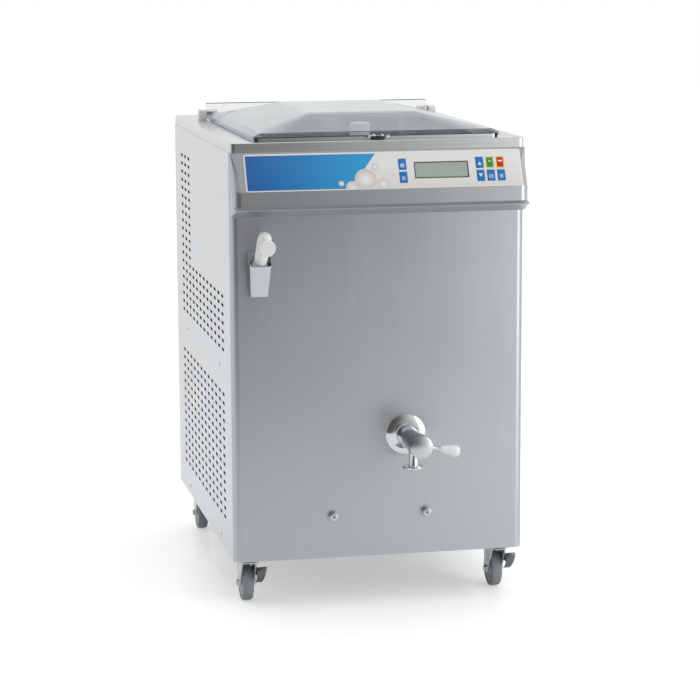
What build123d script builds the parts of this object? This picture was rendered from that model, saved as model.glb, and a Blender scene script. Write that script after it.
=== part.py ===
from build123d import *
import os
from math import hypot

os.makedirs("parts", exist_ok=True)

# Cabinet, in millimetres. The floor is z = 0, the front faces -Y, and the origin
# lies on the floor under the middle of the whole footprint, tap and fittings included.
WIDTH = 650.0
DEPTH = 855.0
TOP_HEIGHT = 1027.0
RIM_HEIGHT = 21.0
RIM_CORNER = 12.0
PANEL_BOTTOM = 110.0
SHEET = 1.5
PLATE = 2.0
PANEL_CORNER = 16.0
FRONT_WRAP = 20.0
SEAM = 0.8
RETURN = 12.0
TOUCH = 0.3
RUNNING_FIT = 0.05

# Tap
TAP_REACH = 155.0
TAP_X = 58.0
TAP_Z = 381.0
FLANGE_DIAMETER = 90.0
FLANGE_RIM = 2.5
FLANGE_CROWN = 7.0
TAP_BODY_DIAMETER = 44.0
TAP_BODY_REACH = 117.0
TAP_BORE = 30.0
TAP_PASSAGE = 24.0
CAP_DIAMETER = 50.0
SPOUT_REACH = 78.0
SPOUT_DIAMETER = 20.0
SPOUT_BORE = 15.0
SPOUT_END_Z = 330.0
SPOUT_DISC_DIAMETER = 48.0
SPOUT_DISC = 4.0
LEVER_REACH = 130.0
LEVER_DIAMETER = 9.0
LEVER_DROOP = 11.0
KNOB_START = 47.0
KNOB_LENGTH = 44.0
KNOB_DIAMETER = 26.0
KNOB_NECK = 12.0
KNOB_BORE = 20.0
LEVER_ROOT = 14.0
PLUG_END_REACH = 58.0

# Rear fittings
FITTING_REACH = 28.0
WATER_X = 200.0
WATER_Z = 230.0
WATER_DIAMETER = 26.4
WATER_BORE = 16.0
GLAND_X = 120.0
GLAND_DIAMETER = 24.0
GLAND_BORE = 12.0

FRONT = TAP_REACH - (DEPTH + TAP_REACH + FITTING_REACH) / 2
REAR = FRONT + DEPTH
LEFT = -WIDTH / 2
RIGHT = WIDTH / 2
RIM_BOTTOM = TOP_HEIGHT - RIM_HEIGHT
PANEL_TOP = RIM_BOTTOM - 0.5

# Frame
RAIL_WIDTH = 40.0
RAIL_HEIGHT = 28.0
PAN = 2.0
POST = 30.0
POST_WALL = 3.0
FLOOR_PAN_Z = PANEL_BOTTOM + RAIL_HEIGHT
DRIP_LIP_WIDTH = 262.0
DRIP_LIP_DROP = 8.0
DRIP_LIP_SETBACK = 52.0

# Tank and agitator
TANK_WIDTH = 470.0
TANK_LENGTH = 600.0
TANK_CORNER = 70.0
TANK_SETBACK = 342.5
TANK_STRAIGHT_Z = 640.0
TANK_RIM_RISE = 4.0
SUMP_SIZE = 150.0
SUMP_CORNER = 70.0
SUMP_TOP_Z = 430.0
SUMP_FLOOR_Z = 362.0
SUMP_SETBACK = 467.5
OUTLET_DIAMETER = 38.0
OUTLET_BORE = 30.0
JACKET = 20.0
JACKET_TOP_GAP = 25.0
SHAFT_DIAMETER = 20.0
IMPELLER_DIAMETER = 124.0
IMPELLER_HEIGHT = 26.0
AGITATOR_KNOB_DIAMETER = 48.0
AGITATOR_KNOB_HEIGHT = 46.0
AGITATOR_TOP_Z = 1031.0
MOTOR_DIAMETER = 140.0
MOTOR_TOP_Z = 326.0

# Raised frame round the tank opening, and its seal
SILL_HALF_WIDTH = 266.0
SILL_FRONT = 16.0
SILL_REAR = 667.0
SILL_WIDTH = 8.0
SILL_HEIGHT = 8.4
SILL_CORNER = 8.0
SEAL = 1.2
SEAL_END = 8.0

# Lid
LID_HALF_WIDTH = 272.0
LID_FRONT = 15.5
LID_LENGTH = 678.0
LID_SHEET = 2.0
LID_SKIRT_GAP = 3.0
LID_EDGE_RISE = 10.0
LID_RIM_RISE = 19.0
LID_RIM_INSET = 18.0
LID_TOP_RISE = 50.0
LID_TOP_HALF_WIDTH = 121.0
LID_TOP_FRONT = 170.5
LID_TOP_REAR = 542.5
LID_HIP_RADIUS = 60.0
LID_TOP_RADIUS = 5.0
BAND_RISE = 39.0
BAND_THICKNESS = 2.5
HINGE_SETBACK = 683.5
HINGE_RISE = 17.0
HINGE_PIN = 8.0
KNUCKLE_DIAMETER = 14.0
KNUCKLE_LENGTH = 26.0
BLOCK_WIDTH = 17.5
BLOCK_DEPTH = 28.0
BLOCK_HEIGHT = 26.0
GRIP_WIDTH = 34.0
GRIP_DEPTH = 11.0
GRIP_HEIGHT = 9.0
WING_WIDTH = 8.0

# Control hood
HOOD_TOP_Z = RIM_BOTTOM
HOOD_SLOPE_OUT = 40.5
HOOD_SLOPE_DROP = 81.0
HOOD_FACE_DROP = 113.0
HOOD_LIP_OUT = 60.5
HOOD_LIP_DROP = 118.0
HOOD_DROP = 137.5
HOOD_CORNER = 20.0
HOOD_TOP_TAB = 0.5
HOOD_UNDERCUT = (HOOD_DROP - HOOD_LIP_DROP) / HOOD_LIP_OUT
HOOD_WINDOW_START = 281.5
HOOD_WINDOW_END = 29.5
HOOD_WINDOW_TOP = 14.0
HOOD_WINDOW_BOTTOM = 82.0

# Label and keys, measured across (u) and down (v) the sloped face. Starts and ends that
# lie to the right are measured back from the label's right edge.
LABEL_THICKNESS = 1.6
LABEL_LEFT = LEFT + 28.0
LABEL_RIGHT = RIGHT - 13.5
LABEL_TOP = 4.3
LABEL_BOTTOM = 89.8
LABEL_CORNER = 3.0
WINDOW_START = 239.1
WINDOW_TOP = 29.7
WINDOW_WIDTH = 120.6
WINDOW_HEIGHT = 38.4
KEY_WIDTH = 17.8
KEY_HEIGHT = 26.0
KEY_CORNER = 2.5
KEY_GAP = 0.2
KEY_THICKNESS = 5.0
KEY_PROUD = 0.5
KEY_START_LEFT = 273.2
KEY_START_RIGHT = 101.9
KEY_PITCH_X = 23.0
KEY_ROW = 21.4
KEY_PITCH_V = 30.0
BOARD_DEPTH = 9.0
BOARD_THICKNESS = 1.6
BOARD_TOP = 25.0
BOARD_HEIGHT = 56.0

# Vents of the left side panel
VENT_COLUMNS = 12
VENT_PITCH_Y = 55.6
VENT_PITCH_Z = 19.8
VENT_LENGTH = 29.0
VENT_HEIGHT = 7.5
VENT_CENTRE = 433.5
REAR_VENT_COLUMNS = 3
REAR_VENT_ROWS = 13
UPPER_VENT_ROWS = 7
LOWER_VENT_ROWS = 15
UPPER_VENT_DROP = 88.0
LOWER_VENT_Z = 462.0
SCREW_SPREAD = 247.0
SCREW_ROWS = (132.0, 522.0)
SCREW_DIAMETER = 9.0
SCREW_HEAD = 2.0
SCREW_SHANK = 4.0

# Rear panel louvres
LOUVRE_ROWS = 9
LOUVRE_LENGTH = 190.0
LOUVRE_HEIGHT = 8.0
LOUVRE_PITCH = 24.0
LOUVRE_Z = 420.0

# Shelf studs on the front
STUD_SPACING = 210.0
STUD_Z = 204.0
STUD_DIAMETER = 20.0
STUD_REACH = 12.0
STUD_SHANK = 8.0

# Hand shower and its pocket
HOLDER_INSET = 59.0
HOLDER_DROP = 74.5
HOLDER_HEIGHT = 96.0
HOLDER_TOP_OUT = 52.0
HOLDER_BOTTOM_OUT = 17.0
HOLDER_MOUTH_SLOPE = 33.7
HOLDER_TOP_WIDTH = 51.0
HOLDER_BOTTOM_WIDTH = 39.0
SHOWER_LEAN = 26.0
SHOWER_DIAMETER = 30.0
SHOWER_TAIL_DIAMETER = 16.0
SHOWER_TAIL_LENGTH = 20.0
SHOWER_COLLAR_DIAMETER = 34.0
SHOWER_SEAT_DROP = 30.0
SHOWER_SEAT_OUT = 19.0
SHOWER_SEAT_HOLE = 20.0
SHOWER_LENGTH = 84.0
SPRAY_DIAMETER = 34.0
SPRAY_REACH = 30.0
SPRAY_HEIGHT = 52.0

# Castors
WHEEL_DIAMETER = 80.0
TYRE_WIDTH = 24.0
TYRE_INNER = 58.0
HUB_WIDTH = 27.4
AXLE_DIAMETER = 8.0
TRAIL = 26.0
CASTOR_INSET = 40.0
CASTOR_FRONT = 95.5
CASTOR_REAR = 78.0
CASTOR_PLATE_X = 72.0
CASTOR_PLATE_Y = 96.0
CASTOR_PLATE = 3.0
FORK_SHEET = 3.0
FORK_GAP = 28.0
RACE_DIAMETER = 50.0
RACE_HEIGHT = 10.0
KINGPIN = 12.0
WHEEL_WEB = 5.0
HUB_BARREL = 22.0
PEDAL_BACK = 4.0
PEDAL_PIVOT_Z = 72.0
PEDAL_RADIUS = 26.0
PEDAL_SHEET = 3.0
PEDAL_WIDTH = 22.0
PEDAL_PIN = 7.0

# Cooling unit
COMPRESSOR_DIAMETER = 170.0
COMPRESSOR_HEIGHT = 230.0
FAN_DIAMETER = 250.0
FAN_BLADES = 5
FAN_SHAFT = 10.0
CONDENSER_THICKNESS = 44.0
CONDENSER_LENGTH = 300.0
CONDENSER_HEIGHT = 290.0
CONDENSER_FINS = 14
CONDENSER_SETBACK = 300.0
CONDENSER_SIDE_GAP = 30.0
COMPRESSOR_SETBACK = 700.0
COMPRESSOR_SIDE_GAP = 175.0

# Electrical box, between the tank's jacket and the right side panel
BOX_CLEARANCE = 18.5
BOX_SETBACK = 300.0
BOX_LENGTH = 220.0
BOX_BOTTOM_Z = 560.0
BOX_HEIGHT = 300.0
BOX_LID = 4.0
BOX_LID_INSET = 6.0

# Places that follow the cabinet and the label
UPPER_VENT_Z = TOP_HEIGHT - UPPER_VENT_DROP
CASTOR_X = RIGHT - CASTOR_INSET
HOLDER_X = LEFT + HOLDER_INSET
HOLDER_TOP_Z = HOOD_TOP_Z - HOOD_DROP - HOLDER_DROP
SHOWER_SEAT_Z = HOLDER_TOP_Z - SHOWER_SEAT_DROP
HOOD_WINDOW_LEFT = LABEL_RIGHT - HOOD_WINDOW_START
HOOD_WINDOW_RIGHT = LABEL_RIGHT - HOOD_WINDOW_END
WINDOW_LEFT = LABEL_RIGHT - WINDOW_START
KEY_COLUMN_LEFT = LABEL_RIGHT - KEY_START_LEFT
KEY_COLUMN_RIGHT = LABEL_RIGHT - KEY_START_RIGHT

pieces = {}


def block(x0, x1, y0, y1, z0, z1):
    """Box between two corners."""
    return Pos((x0 + x1) / 2, (y0 + y1) / 2, (z0 + z1) / 2) * Box(x1 - x0, y1 - y0, z1 - z0)


def upright(x, y, z0, z1, diameter):
    """Round bar standing along Z."""
    return Pos(x, y, (z0 + z1) / 2) * Cylinder(diameter / 2, z1 - z0)


def along_x(x0, x1, y, z, diameter):
    """Round bar lying along X."""
    return Pos((x0 + x1) / 2, y, z) * Rot(0, 90, 0) * Cylinder(diameter / 2, x1 - x0)


def along_y(y0, y1, x, z, diameter):
    """Round bar lying along Y."""
    return Pos(x, (y0 + y1) / 2, z) * Rot(90, 0, 0) * Cylinder(diameter / 2, y1 - y0)


def rounded_prism(width, length, radius, y, z0, z1, x=0.0):
    """Upright prism with rounded corners, centred on x and y."""
    return extrude(Pos(x, y, z0) * RectangleRounded(width, length, radius), z1 - z0)


def rounded_loft(low, high):
    """Ruled loft between two rounded rectangles given as (x, y, z, width, length, radius)."""
    faces = [Pos(x, y, z) * RectangleRounded(w, l, r) for x, y, z, w, l, r in (low, high)]
    return loft(faces, ruled=True)


def side_plane(x):
    """YZ plane at x, drawn in world Y and Z, with its normal along X."""
    return Plane((x, 0, 0), x_dir=(0, 1, 0), z_dir=(1, 0, 0))


def front_y(setback):
    """Y of a place behind the front panel's outer face."""
    return FRONT + setback


# Frame and casing

def make_frame():
    outer = block(LEFT + SHEET, RIGHT - SHEET, FRONT + SHEET, REAR - SHEET, PANEL_BOTTOM, FLOOR_PAN_Z)
    outer = fillet(outer.edges().filter_by(Axis.Z).group_by(Axis.Y)[0], PANEL_CORNER)
    inner = block(
        LEFT + SHEET + RAIL_WIDTH, RIGHT - SHEET - RAIL_WIDTH,
        FRONT + SHEET + RAIL_WIDTH, REAR - SHEET - RAIL_WIDTH,
        PANEL_BOTTOM - 1, FLOOR_PAN_Z - PAN,
    )
    frame = outer - inner
    lip_y = FRONT + DRIP_LIP_SETBACK
    frame += block(
        -DRIP_LIP_WIDTH / 2, DRIP_LIP_WIDTH / 2, lip_y, lip_y + PAN,
        PANEL_BOTTOM - DRIP_LIP_DROP, FLOOR_PAN_Z - PAN,
    )
    post_front = FRONT + FRONT_WRAP + SEAM + SHEET
    post_rear = REAR - SHEET
    for side in (-1, 1):
        corner_x = side * (WIDTH / 2 - SHEET)
        for corner_y, inward in ((post_front, 1), (post_rear, -1)):
            x0, x1 = sorted((corner_x, corner_x - side * POST))
            y0, y1 = sorted((corner_y, corner_y + inward * POST))
            post = block(x0, x1, y0, y1, FLOOR_PAN_Z, TOP_HEIGHT - PLATE)
            outer_edge = post.edges().filter_by(Axis.Z).sort_by_distance((corner_x, corner_y, TOP_HEIGHT))[0]
            post = fillet(outer_edge, RIM_CORNER)
            hx0, hx1 = sorted((corner_x - side * POST_WALL, corner_x - side * (POST + 1)))
            hy0, hy1 = sorted((corner_y + inward * POST_WALL, corner_y + inward * (POST + 1)))
            frame += post - block(hx0, hx1, hy0, hy1, FLOOR_PAN_Z - 1, TOP_HEIGHT)
    motor_plate_y = front_y(SUMP_SETBACK)
    frame -= upright(TAP_X, motor_plate_y, FLOOR_PAN_Z - PAN - 1, FLOOR_PAN_Z + 1, MOTOR_DIAMETER * 0.5)
    return frame


def make_front_panel():
    reach = FRONT_WRAP * 3
    middle = FRONT + reach / 2
    outer = Pos(0, middle) * Rectangle(WIDTH, reach)
    outer = fillet(outer.vertices().group_by(Axis.Y)[0], PANEL_CORNER)
    inner = Pos(0, middle + SHEET) * Rectangle(WIDTH - 2 * SHEET, reach)
    inner = fillet(inner.vertices().group_by(Axis.Y)[0], PANEL_CORNER - SHEET)
    section = (outer - inner) & (Pos(0, FRONT + FRONT_WRAP / 2) * Rectangle(WIDTH * 2, FRONT_WRAP))
    panel = extrude(Pos(0, 0, PANEL_BOTTOM) * section, PANEL_TOP - PANEL_BOTTOM)
    panel -= along_y(FRONT - 1, FRONT + SHEET + 1, TAP_X, TAP_Z, TAP_BODY_DIAMETER)
    for side in (-1, 1):
        panel -= along_y(FRONT - 1, FRONT + SHEET + 1, side * STUD_SPACING / 2, STUD_Z, STUD_SHANK + 0.4)
    return panel


def vent_centres():
    """Middles of the side vents: a narrow rear field above, full rows across and below."""
    first_y = FRONT + VENT_CENTRE + VENT_PITCH_Y * (VENT_COLUMNS - 1) / 2
    centres = []
    for row in range(REAR_VENT_ROWS + UPPER_VENT_ROWS):
        columns = REAR_VENT_COLUMNS if row < REAR_VENT_ROWS else VENT_COLUMNS
        for column in range(columns):
            centres.append((first_y - column * VENT_PITCH_Y, UPPER_VENT_Z - row * VENT_PITCH_Z))
    for row in range(LOWER_VENT_ROWS):
        for column in range(VENT_COLUMNS):
            centres.append((first_y - column * VENT_PITCH_Y, LOWER_VENT_Z - row * VENT_PITCH_Z))
    return centres


def screw_places():
    """Middles of the side panel screws, as (y, z)."""
    middle = (FRONT + REAR) / 2
    return [(middle + side * SCREW_SPREAD, z) for z in SCREW_ROWS for side in (-1, 1)]


def make_side_panel(side, vented):
    y0 = FRONT + FRONT_WRAP + SEAM
    y1 = REAR
    middle_y = (y0 + y1) / 2
    middle_z = (PANEL_BOTTOM + PANEL_TOP) / 2
    sheet = Pos(middle_y, middle_z) * Rectangle(y1 - y0, PANEL_TOP - PANEL_BOTTOM)
    if vented:
        sheet -= Sketch() + [Pos(y, z) * Rectangle(VENT_LENGTH, VENT_HEIGHT) for y, z in vent_centres()]
    sheet -= Sketch() + [Pos(y, z) * Circle(SCREW_SHANK / 2 + 0.1) for y, z in screw_places()]
    face_x = side * WIDTH / 2 - (SHEET if side > 0 else 0)
    panel = extrude(side_plane(face_x) * sheet, SHEET)
    x0, x1 = sorted((side * WIDTH / 2, side * (WIDTH / 2 - RETURN)))
    return panel + block(x0, x1, y0, y0 + SHEET, FLOOR_PAN_Z, PANEL_TOP)


def make_rear_panel():
    middle_z = (PANEL_BOTTOM + PANEL_TOP) / 2
    sheet = Pos(0, middle_z) * Rectangle(WIDTH - 2 * SHEET, PANEL_TOP - PANEL_BOTTOM)
    for side in (-1, 1):
        for row in range(LOUVRE_ROWS):
            place = Pos(side * LOUVRE_LENGTH * 0.62, LOUVRE_Z + row * LOUVRE_PITCH)
            sheet -= place * Rectangle(LOUVRE_LENGTH, LOUVRE_HEIGHT)
    sheet -= Pos(WATER_X, WATER_Z) * Circle(WATER_DIAMETER / 2)
    sheet -= Pos(GLAND_X, WATER_Z) * Circle(GLAND_DIAMETER / 2 - 2)
    return extrude(Plane((0, REAR, 0), x_dir=(1, 0, 0), z_dir=(0, -1, 0)) * sheet, SHEET)


def make_top_plate():
    middle = (FRONT + REAR) / 2
    outer = rounded_prism(WIDTH, DEPTH, RIM_CORNER, middle, RIM_BOTTOM, TOP_HEIGHT)
    outer = fillet(outer.faces().sort_by(Axis.Z)[-1].outer_wire().edges(), PLATE - 0.5)
    hollow = rounded_prism(
        WIDTH - 2 * SHEET, DEPTH - 2 * SHEET, RIM_CORNER - SHEET, middle, RIM_BOTTOM - 1, TOP_HEIGHT - PLATE,
    )
    sill_middle = front_y((SILL_FRONT + SILL_REAR) / 2)
    sill_length = SILL_REAR - SILL_FRONT
    sill = rounded_prism(
        2 * SILL_HALF_WIDTH, sill_length, SILL_CORNER, sill_middle,
        TOP_HEIGHT - PLATE, TOP_HEIGHT + SILL_HEIGHT,
    )
    well = rounded_prism(
        2 * (SILL_HALF_WIDTH - SILL_WIDTH), sill_length - 2 * SILL_WIDTH, SILL_CORNER - SILL_WIDTH / 2,
        sill_middle, TOP_HEIGHT, TOP_HEIGHT + SILL_HEIGHT + 1,
    )
    opening = rounded_prism(
        TANK_WIDTH + 2 * PLATE, TANK_LENGTH + 2 * PLATE, TANK_CORNER + PLATE,
        front_y(TANK_SETBACK), TOP_HEIGHT - 2 * PLATE, TOP_HEIGHT + SILL_HEIGHT + 1,
    )
    return outer - hollow + sill - well - opening


def make_panel_screws():
    screws = []
    for side in (-1, 1):
        for y, z in screw_places():
            outer = side * WIDTH / 2
            x0, x1 = sorted((outer, outer + side * SCREW_HEAD))
            head = along_x(x0, x1, y, z, SCREW_DIAMETER)
            rim = head.edges().group_by(Axis.X)[-1 if side > 0 else 0]
            head = fillet(rim, SCREW_HEAD * 0.6)
            inner = outer - side * SHEET
            x0, x1 = sorted((outer, inner))
            screws.append(head + along_x(x0, x1, y, z, SCREW_SHANK))
    return screws


def make_shelf_studs():
    studs = []
    for side in (-1, 1):
        x = side * STUD_SPACING / 2
        head = along_y(FRONT - STUD_REACH, FRONT, x, STUD_Z, STUD_DIAMETER)
        head = fillet(head.edges().group_by(Axis.Y)[0], 2.0)
        studs.append(head + along_y(FRONT, FRONT + SHEET + 6, x, STUD_Z, STUD_SHANK))
    return studs


pieces["frame"] = make_frame()
pieces["front_panel"] = make_front_panel()
pieces["side_panel_left"] = make_side_panel(-1, True)
pieces["side_panel_right"] = make_side_panel(1, False)
pieces["rear_panel"] = make_rear_panel()
pieces["top_plate"] = make_top_plate()
pieces["panel_screws"] = make_panel_screws()
pieces["shelf_studs"] = make_shelf_studs()


# Control hood, label, display and keys

def hood_section(back):
    """Side outline of the hood in the YZ plane, reaching back past the front panel's face."""
    points = [
        (FRONT + back, HOOD_TOP_Z),
        (FRONT - HOOD_TOP_TAB, HOOD_TOP_Z),
        (FRONT - HOOD_SLOPE_OUT, HOOD_TOP_Z - HOOD_SLOPE_DROP),
        (FRONT - HOOD_SLOPE_OUT, HOOD_TOP_Z - HOOD_FACE_DROP),
        (FRONT - HOOD_LIP_OUT, HOOD_TOP_Z - HOOD_LIP_DROP),
        (FRONT + back, HOOD_TOP_Z - HOOD_DROP - back * HOOD_UNDERCUT),
    ]
    return make_face(Polyline(*points, close=True))


face_tilt = hypot(HOOD_SLOPE_OUT, HOOD_SLOPE_DROP)
FACE_NORMAL = Vector(0, -HOOD_SLOPE_DROP / face_tilt, HOOD_SLOPE_OUT / face_tilt)
face_plane = Plane((0, FRONT - HOOD_TOP_TAB, HOOD_TOP_Z), x_dir=(1, 0, 0), z_dir=tuple(FACE_NORMAL))


def on_face(left, top, width, height, radius, depth0, depth1):
    """Rounded plate on the sloped face; u to the right, v down, depth along the normal."""
    place = Pos(left + width / 2, -(top + height / 2))
    plate = extrude(place * RectangleRounded(width, height, radius), depth1 - depth0)
    return face_plane * Pos(0, 0, depth0) * plate


def key_places():
    """Key names with their left and top edges on the face."""
    rows = (KEY_ROW, KEY_ROW + KEY_PITCH_V)
    columns = [KEY_COLUMN_RIGHT + n * KEY_PITCH_X for n in range(3)]
    names = (("key_up", "key_start", "key_stop"), ("key_down", "key_confirm", "key_setup"))
    places = {"key_program": (KEY_COLUMN_LEFT, rows[0]), "key_memory": (KEY_COLUMN_LEFT, rows[1])}
    for row_names, top in zip(names, rows):
        for name, left in zip(row_names, columns):
            places[name] = (left, top)
    return places


def make_control_hood():
    outer = extrude(side_plane(LEFT) * hood_section(0), WIDTH)
    hollow = offset(hood_section(10), -SHEET, kind=Kind.INTERSECTION)
    inner = extrude(side_plane(LEFT + SHEET) * hollow, WIDTH - 2 * SHEET)
    reach = HOOD_LIP_OUT * 2
    plan = Pos(0, FRONT - HOOD_LIP_OUT + reach / 2) * Rectangle(WIDTH, reach)
    plan = fillet(plan.vertices().group_by(Axis.Y)[0], HOOD_CORNER)
    inner_plan = Pos(0, FRONT - HOOD_LIP_OUT + SHEET + reach / 2) * Rectangle(WIDTH - 2 * SHEET, reach)
    inner_plan = fillet(inner_plan.vertices().group_by(Axis.Y)[0], HOOD_CORNER - SHEET)
    low = HOOD_TOP_Z - HOOD_DROP - 1
    tall = HOOD_DROP + 2
    outer = outer & extrude(Pos(0, 0, low) * plan, tall)
    inner = inner & extrude(Pos(0, 0, low) * inner_plan, tall)
    window = on_face(
        HOOD_WINDOW_LEFT, HOOD_WINDOW_TOP, HOOD_WINDOW_RIGHT - HOOD_WINDOW_LEFT,
        HOOD_WINDOW_BOTTOM - HOOD_WINDOW_TOP, LABEL_CORNER, -4 * SHEET, SHEET,
    )
    return outer - inner - window


def make_label_panel():
    label = on_face(
        LABEL_LEFT, LABEL_TOP, LABEL_RIGHT - LABEL_LEFT, LABEL_BOTTOM - LABEL_TOP, LABEL_CORNER,
        0, LABEL_THICKNESS,
    )
    label -= on_face(WINDOW_LEFT, WINDOW_TOP, WINDOW_WIDTH, WINDOW_HEIGHT, 1.0, -1, LABEL_THICKNESS + 1)
    for left, top in key_places().values():
        label -= on_face(left, top, KEY_WIDTH, KEY_HEIGHT, KEY_CORNER, -1, LABEL_THICKNESS + 1)
    return label


def make_key(left, top):
    low = LABEL_THICKNESS + KEY_PROUD - KEY_THICKNESS
    return on_face(
        left + KEY_GAP, top + KEY_GAP, KEY_WIDTH - 2 * KEY_GAP, KEY_HEIGHT - 2 * KEY_GAP,
        KEY_CORNER - KEY_GAP, low, LABEL_THICKNESS + KEY_PROUD,
    )


def make_control_board():
    return on_face(
        HOOD_WINDOW_LEFT - 8, BOARD_TOP, HOOD_WINDOW_RIGHT - HOOD_WINDOW_LEFT + 16,
        BOARD_HEIGHT, 2.0, -BOARD_DEPTH, -BOARD_DEPTH + BOARD_THICKNESS,
    )


def make_display_window():
    """Clear window with its display unit standing on the board behind it."""
    pane = on_face(WINDOW_LEFT, WINDOW_TOP, WINDOW_WIDTH, WINDOW_HEIGHT, 1.0, -SHEET, LABEL_THICKNESS - 0.4)
    unit = on_face(
        WINDOW_LEFT + 4, WINDOW_TOP + 4, WINDOW_WIDTH - 8, WINDOW_HEIGHT - 8, 1.0,
        -BOARD_DEPTH + BOARD_THICKNESS, -SHEET,
    )
    return pane + unit


pieces["control_hood"] = make_control_hood()
pieces["label_panel"] = make_label_panel()
pieces["display_window"] = make_display_window()
pieces["control_board"] = make_control_board()
for key_name, (key_left, key_top) in key_places().items():
    pieces[key_name] = make_key(key_left, key_top)


# Tank, insulation, seal, agitator and its motor

sump_y = front_y(SUMP_SETBACK)
tank_y = front_y(TANK_SETBACK)


def tank_solid(grow, top_z, floor_z):
    """Tank form from its rim to its sump, grown outwards by a wall thickness."""
    straight = (0, tank_y, TANK_STRAIGHT_Z, TANK_WIDTH + 2 * grow, TANK_LENGTH + 2 * grow, TANK_CORNER + grow)
    sump = (TAP_X, sump_y, SUMP_TOP_Z, SUMP_SIZE + 2 * grow, SUMP_SIZE + 2 * grow, SUMP_CORNER + grow)
    wall = rounded_prism(straight[3], straight[4], straight[5], tank_y, TANK_STRAIGHT_Z, top_z)
    hopper = rounded_loft(sump, straight)
    well = rounded_prism(sump[3], sump[4], sump[5], sump_y, floor_z, SUMP_TOP_Z, x=TAP_X)
    return wall + hopper + well


def make_tank():
    top_z = TOP_HEIGHT + TANK_RIM_RISE
    tank = tank_solid(PLATE, top_z, SUMP_FLOOR_Z - PLATE)
    pipe_front = FRONT + SHEET + 10
    tank += along_y(pipe_front, sump_y - SUMP_SIZE / 2, TAP_X, TAP_Z, OUTLET_DIAMETER)
    tank -= tank_solid(0, top_z + 1, SUMP_FLOOR_Z)
    tank -= along_y(pipe_front - 1, sump_y - SUMP_SIZE / 2 + 2, TAP_X, TAP_Z, OUTLET_BORE)
    shaft_hole = SHAFT_DIAMETER + 2 * RUNNING_FIT
    return tank - upright(TAP_X, sump_y, SUMP_FLOOR_Z - PLATE - 1, SUMP_FLOOR_Z + 1, shaft_hole)


def make_tank_jacket():
    outer = rounded_prism(
        TANK_WIDTH + 2 * (PLATE + JACKET), TANK_LENGTH + 2 * (PLATE + JACKET), TANK_CORNER + PLATE + JACKET,
        tank_y, TANK_STRAIGHT_Z, TOP_HEIGHT - JACKET_TOP_GAP,
    )
    inner = rounded_prism(
        TANK_WIDTH + 2 * PLATE, TANK_LENGTH + 2 * PLATE, TANK_CORNER + PLATE,
        tank_y, TANK_STRAIGHT_Z - 1, TOP_HEIGHT,
    )
    return outer - inner


def make_lid_seal():
    """Flat seal on the raised frame, turned down at the frame's two front corners."""
    middle = front_y((SILL_FRONT + SILL_REAR) / 2)
    length = SILL_REAR - SILL_FRONT
    low = TOP_HEIGHT + SILL_HEIGHT
    outer = rounded_prism(2 * SILL_HALF_WIDTH, length, SILL_CORNER, middle, low, low + SEAL)
    inner = rounded_prism(
        2 * (SILL_HALF_WIDTH - SILL_WIDTH), length - 2 * SILL_WIDTH, SILL_CORNER - SILL_WIDTH / 2,
        middle, low - 1, low + SEAL + 1,
    )
    seal = outer - inner
    for side in (-1, 1):
        x0, x1 = sorted((side * SILL_HALF_WIDTH, side * (SILL_HALF_WIDTH + SEAL)))
        seal += block(
            x0, x1, front_y(SILL_FRONT + SILL_CORNER), front_y(SILL_FRONT + SILL_CORNER + SEAL_END),
            TOP_HEIGHT, low + SEAL,
        )
    return seal


def make_agitator():
    base = SUMP_FLOOR_Z + 6
    shaft = upright(TAP_X, sump_y, MOTOR_TOP_Z - 30, AGITATOR_TOP_Z - 12, SHAFT_DIAMETER)
    hub = upright(TAP_X, sump_y, base, base + IMPELLER_HEIGHT, SHAFT_DIAMETER * 2)
    disc = upright(TAP_X, sump_y, base, base + 3, IMPELLER_DIAMETER)
    impeller = shaft + hub + disc
    blade_reach = IMPELLER_DIAMETER / 2
    for index in range(4):
        arc = ThreePointArc((SHAFT_DIAMETER * 0.8, 0), (blade_reach * 0.6, 9), (blade_reach - 2, 0))
        blade = extrude(make_face(offset(arc, 1.5, side=Side.BOTH)), IMPELLER_HEIGHT)
        impeller += Pos(TAP_X, sump_y, base) * Rot(0, 0, 90 * index) * blade
    return impeller


def make_agitator_knob():
    low = AGITATOR_TOP_Z - AGITATOR_KNOB_HEIGHT
    knob = upright(TAP_X, sump_y, low, AGITATOR_TOP_Z, AGITATOR_KNOB_DIAMETER)
    knob = fillet(knob.edges().group_by(Axis.Z)[-1], 6.0)
    return knob - upright(TAP_X, sump_y, low - 1, AGITATOR_TOP_Z - 12, SHAFT_DIAMETER)


def make_drive_motor():
    body = upright(TAP_X, sump_y, FLOOR_PAN_Z + 14, MOTOR_TOP_Z - 26, MOTOR_DIAMETER)
    foot = block(
        TAP_X - MOTOR_DIAMETER * 0.6, TAP_X + MOTOR_DIAMETER * 0.6,
        sump_y - MOTOR_DIAMETER * 0.6, sump_y + MOTOR_DIAMETER * 0.6, FLOOR_PAN_Z, FLOOR_PAN_Z + 14,
    )
    nose = Pos(TAP_X, sump_y, MOTOR_TOP_Z - 13) * Cone(MOTOR_DIAMETER * 0.38, MOTOR_DIAMETER * 0.2, 26)
    motor = body + foot + nose
    for index in range(12):
        motor += Pos(TAP_X, sump_y, (FLOOR_PAN_Z + MOTOR_TOP_Z) / 2) * Rot(0, 0, index * 30) * (
            Pos(MOTOR_DIAMETER / 2 + 2, 0, 0) * Box(8, 4, MOTOR_DIAMETER * 0.7)
        )
    bore = upright(TAP_X, sump_y, MOTOR_TOP_Z - 31, MOTOR_TOP_Z + 1, SHAFT_DIAMETER + 2 * RUNNING_FIT)
    return motor - bore


pieces["tank"] = make_tank()
pieces["tank_jacket"] = make_tank_jacket()
pieces["lid_seal"] = make_lid_seal()
pieces["agitator"] = make_agitator()
pieces["agitator_knob"] = make_agitator_knob()
pieces["drive_motor"] = make_drive_motor()


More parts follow.
